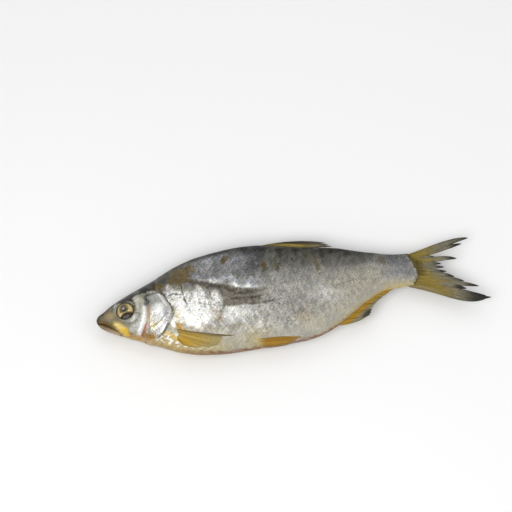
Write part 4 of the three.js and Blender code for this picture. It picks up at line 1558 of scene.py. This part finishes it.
# %% The anal fin
ANAL_FIN_GOLD = (158, 119, 22)
ANAL_FIN_DUN = (130, 116, 74)
ANAL_FIN_TIP = (170.4, -25.2, 4.4, 1.5, 30)
anal_tip_x = through([[0, 168.5], [0.14, 172.4], [0.28, 173.6], [0.42, 175.8], [1, 189.5]])
anal_tip_y = through([[0, -27.7], [0.14, -26.0], [0.28, -23.6], [0.42, -20.2], [1, -12.2]])


def anal_fin_rays():
    return spread(
        17,
        lambda s: (mix(149.5, 184, s), belly(mix(149.5, 184, s)) + 1.6),
        lambda s: (float(anal_tip_x(s)), float(anal_tip_y(s))),
        lambda s, i: {"width": mix(2.5, 2.1, s), "bow": mix(-0.6, -0.2, s), "thick": 1.2,
                      "raise": 0.25 * math.sin(i * 2.2)},
    )


def anal_fin_paint(x, y, along, number):
    out = belly(x) - y
    strip = mix(3.6, 1.6, ease(x, 158, 184))
    coat = Coat(ANAL_FIN_GOLD, x, y)
    coat.lay(ANAL_FIN_DUN, ease(out, strip - 0.8, strip + 0.6))
    coat.lay(FIN_GREY, 0.8 * ease(out, strip + 1.2, strip + 2.6))
    coat.spot(FIN_BLACK, 0.85, ANAL_FIN_TIP, 0.5)
    return coat


fin("anal_fin", anal_fin_rays(), anal_fin_paint, 0.7)

# %% [markdown]
# ## The paired fins
# The pectoral fins lie back from behind the gills and the pelvic fins from the middle of the belly, dried
# flat on the flank. Their rays follow the skin's height, with both sides alike.

# %% Fins on the flank
def on_skin(side, tip_sunk):
    """A fin's height on a flank: its root is buried, and its tips sink in by tip_sunk."""
    def lift(x, y, at):
        buried = 1.3 * (1 - ease(at, 0, 0.1)) + tip_sunk * ease(at, 0.8, 1.0)
        height = np.maximum(1.4, flank_height(x, y) - sunk_skin(x, y) - buried)
        return settled(side * height)
    return lift


# %% The pectoral fins' form and colour
PECTORAL_OCHRE = (164, 133, 44)
PECTORAL_STREAK = (190, 164, 92)
PECTORAL_PALE = (152, 138, 94)
PECTORAL_DUN = (124, 104, 58)
EDGE_OLIVE = (84, 70, 40)
PECTORAL_GLOW = (53.4, -25.6, 3.6, 1.8, -40)
LEADING_EDGE = [(47.3, -16.7), (55.2, -20.0), (66.5, -23.5), (75, -25.9), (83.2, -27.4)]
pectoral_tip_x = through([[0, 84], [0.3, 82], [0.6, 74], [0.8, 63.5], [1, 54.5]])
pectoral_tip_y = through([[0, -27.6], [0.3, -30.6], [0.6, -31.9], [0.8, -31.3], [1, -28]])


def pectoral_rays():
    """The first ray is narrow and stands up: it is the stiff leading edge."""
    return spread(
        20,
        lambda s: (mix(46.8, 48.2, s), mix(-17.4, -21.6, s)),
        lambda s: (float(pectoral_tip_x(s)), float(pectoral_tip_y(s))),
        lambda s, i: {"width": 1.5 if i == 0 else 2.3, "bow": mix(-1.1, -0.8, s), "thick": mix(1.0, 0.7, s),
                      "raise": 0.3 if i == 0 else 0.08 * math.sin(i * 2.6)},
    )


def pectoral_paint(x, y, along, number):
    fine = cloud(x, y, number, 5, 61)
    stripe = 0.5 + 0.5 * np.sin(number * 2.4 + 1.0)
    coat = Coat(PECTORAL_OCHRE, x, y)
    coat.lay(PECTORAL_STREAK, 0.45 * stripe)
    coat.lay(FIN_OLIVE, 0.3 * (1 - stripe) * (1 - ease(x, 66, 80)))
    coat.lay(PECTORAL_DUN, 0.6 * ease(y + 0.36 * (x - 47), -8.5, -5.5))
    coat.lay(PECTORAL_PALE, ease(x + 2.5 * fine, 58, 76))
    coat.lay(PECTORAL_PALE, 0.9 * ease(along + 0.05 * fine, 0.65, 0.95))
    coat.spot(AXIL_GOLD, 0.7, PECTORAL_GLOW, 0.6)
    coat.trace(EDGE_OLIVE, 0.85, LEADING_EDGE, 0.9)
    return coat


# %% The pelvic fins' form and colour
PELVIC_GOLD = (154, 117, 34)
PELVIC_BROWN = (128, 92, 22)
PELVIC_TIP = (142, 110, 50)


def pelvic_rays():
    return spread(
        8,
        lambda s: (mix(95.5, 96.5, s), mix(-32.4, -34.4, s)),
        lambda s: (mix(126.5, 120, s), mix(-34.6, -35.9, s)),
        lambda s, i: {"width": 1.7, "bow": mix(0.3, -0.5, s), "thick": 1.0,
                      "raise": 0.12 * math.sin(i * 2.6)},
    )


def pelvic_paint(x, y, along, number):
    coat = Coat(PELVIC_GOLD, x, y)
    coat.lay(PELVIC_BROWN, 0.4 + 0.4 * np.sin(number * 2.4))
    coat.lay(PELVIC_TIP, ease(along, 0.75, 0.98))
    coat.lay(PALE_OCHRE, 1 - ease(along, 0.02, 0.26))
    return coat


# %% The paired fins
for side, word in ((LEFT, "left"), (RIGHT, "right")):
    fin("pectoral_fin_" + word, pectoral_rays(), pectoral_paint, 0.4, on_skin(side, 0.3))
    fin("pelvic_fin_" + word, pelvic_rays(), pelvic_paint, 0.5, on_skin(side, 0.0))

# %% [markdown]
# ## The floor, the light and the camera
# The fish lies on a plain pale floor in soft studio light from large lamps. The camera looks down on it
# at 70 degrees with a long lens, turned a little so that the tail rises to the right.

# %% The floor
FLOOR_SIZE = 3.0
FLOOR_DARKER = (0.90, 0.90, 0.90, 1)
FLOOR_LIGHTER = (0.92, 0.92, 0.92, 1)


def floor():
    bm = bmesh.new()
    bmesh.ops.create_grid(bm, x_segments=1, y_segments=1, size=FLOOR_SIZE)
    mesh = bpy.data.meshes.new("floor")
    bm.to_mesh(mesh)
    bm.free()
    made = bpy.data.objects.new("floor", mesh)
    bpy.context.scene.collection.objects.link(made)
    finish = Finish("pale_floor", roughness=0.6)
    wash = finish.noise(finish.place(), 3.0)
    finish.feed(base_color=finish.blend(wash, FLOOR_DARKER, FLOOR_LIGHTER))
    mesh.materials.append(finish.material)


floor()

# %% The light
LAMPS = [    # name, turn and height in degrees, distance and size in metres, power in watts
    ("key", -40, 60, 1.2, 0.7, 7.5),
    ("fill", 60, 50, 1.4, 1.0, 3.0),
    ("rear", 170, 60, 1.4, 1.0, 1.5),
]
ROOM_LIGHT = 0.5


def direction(turn, height):
    """The way out from the fish at a turn and height in degrees."""
    a = math.radians(turn)
    e = math.radians(height)
    return Vector((math.sin(a) * math.cos(e), -math.cos(a) * math.cos(e), math.sin(e)))


def looking_in(name, data, start, way):
    """A lamp or camera at start that looks back along way."""
    made = bpy.data.objects.new(name, data)
    made.location = start
    made.rotation_euler = way.to_track_quat("Z", "Y").to_euler()
    bpy.context.scene.collection.objects.link(made)
    return made


for name, turn, height, distance, size, power in LAMPS:
    data = bpy.data.lights.new(name, "AREA")
    data.size = size
    data.energy = power
    way = direction(turn, height)
    looking_in(name, data, way * distance, way)
world = bpy.data.worlds.new("studio")
world.use_nodes = True
world.node_tree.nodes["Background"].inputs["Color"].default_value = (1, 1, 1, 1)
world.node_tree.nodes["Background"].inputs["Strength"].default_value = ROOM_LIGHT
bpy.context.scene.world = world
bpy.context.scene.view_settings.view_transform = "Standard"
print("lit by", len(LAMPS), "lamps and the room")

# %% The camera
VIEW_TURN = -10.52
VIEW_HEIGHT = 70
VIEW_DISTANCE = 2.723
LENS = 300
AIM = Vector(placed(np.array([[107.6, 25.6, 0.0]]))[0])
data = bpy.data.cameras.new("camera")
data.lens = LENS
data.clip_start = 0.01
way = direction(VIEW_TURN, VIEW_HEIGHT)
bpy.context.scene.camera = looking_in("camera", data, AIM + way * VIEW_DISTANCE, way)
print("the camera stands", VIEW_DISTANCE, "m from the point it aims at")
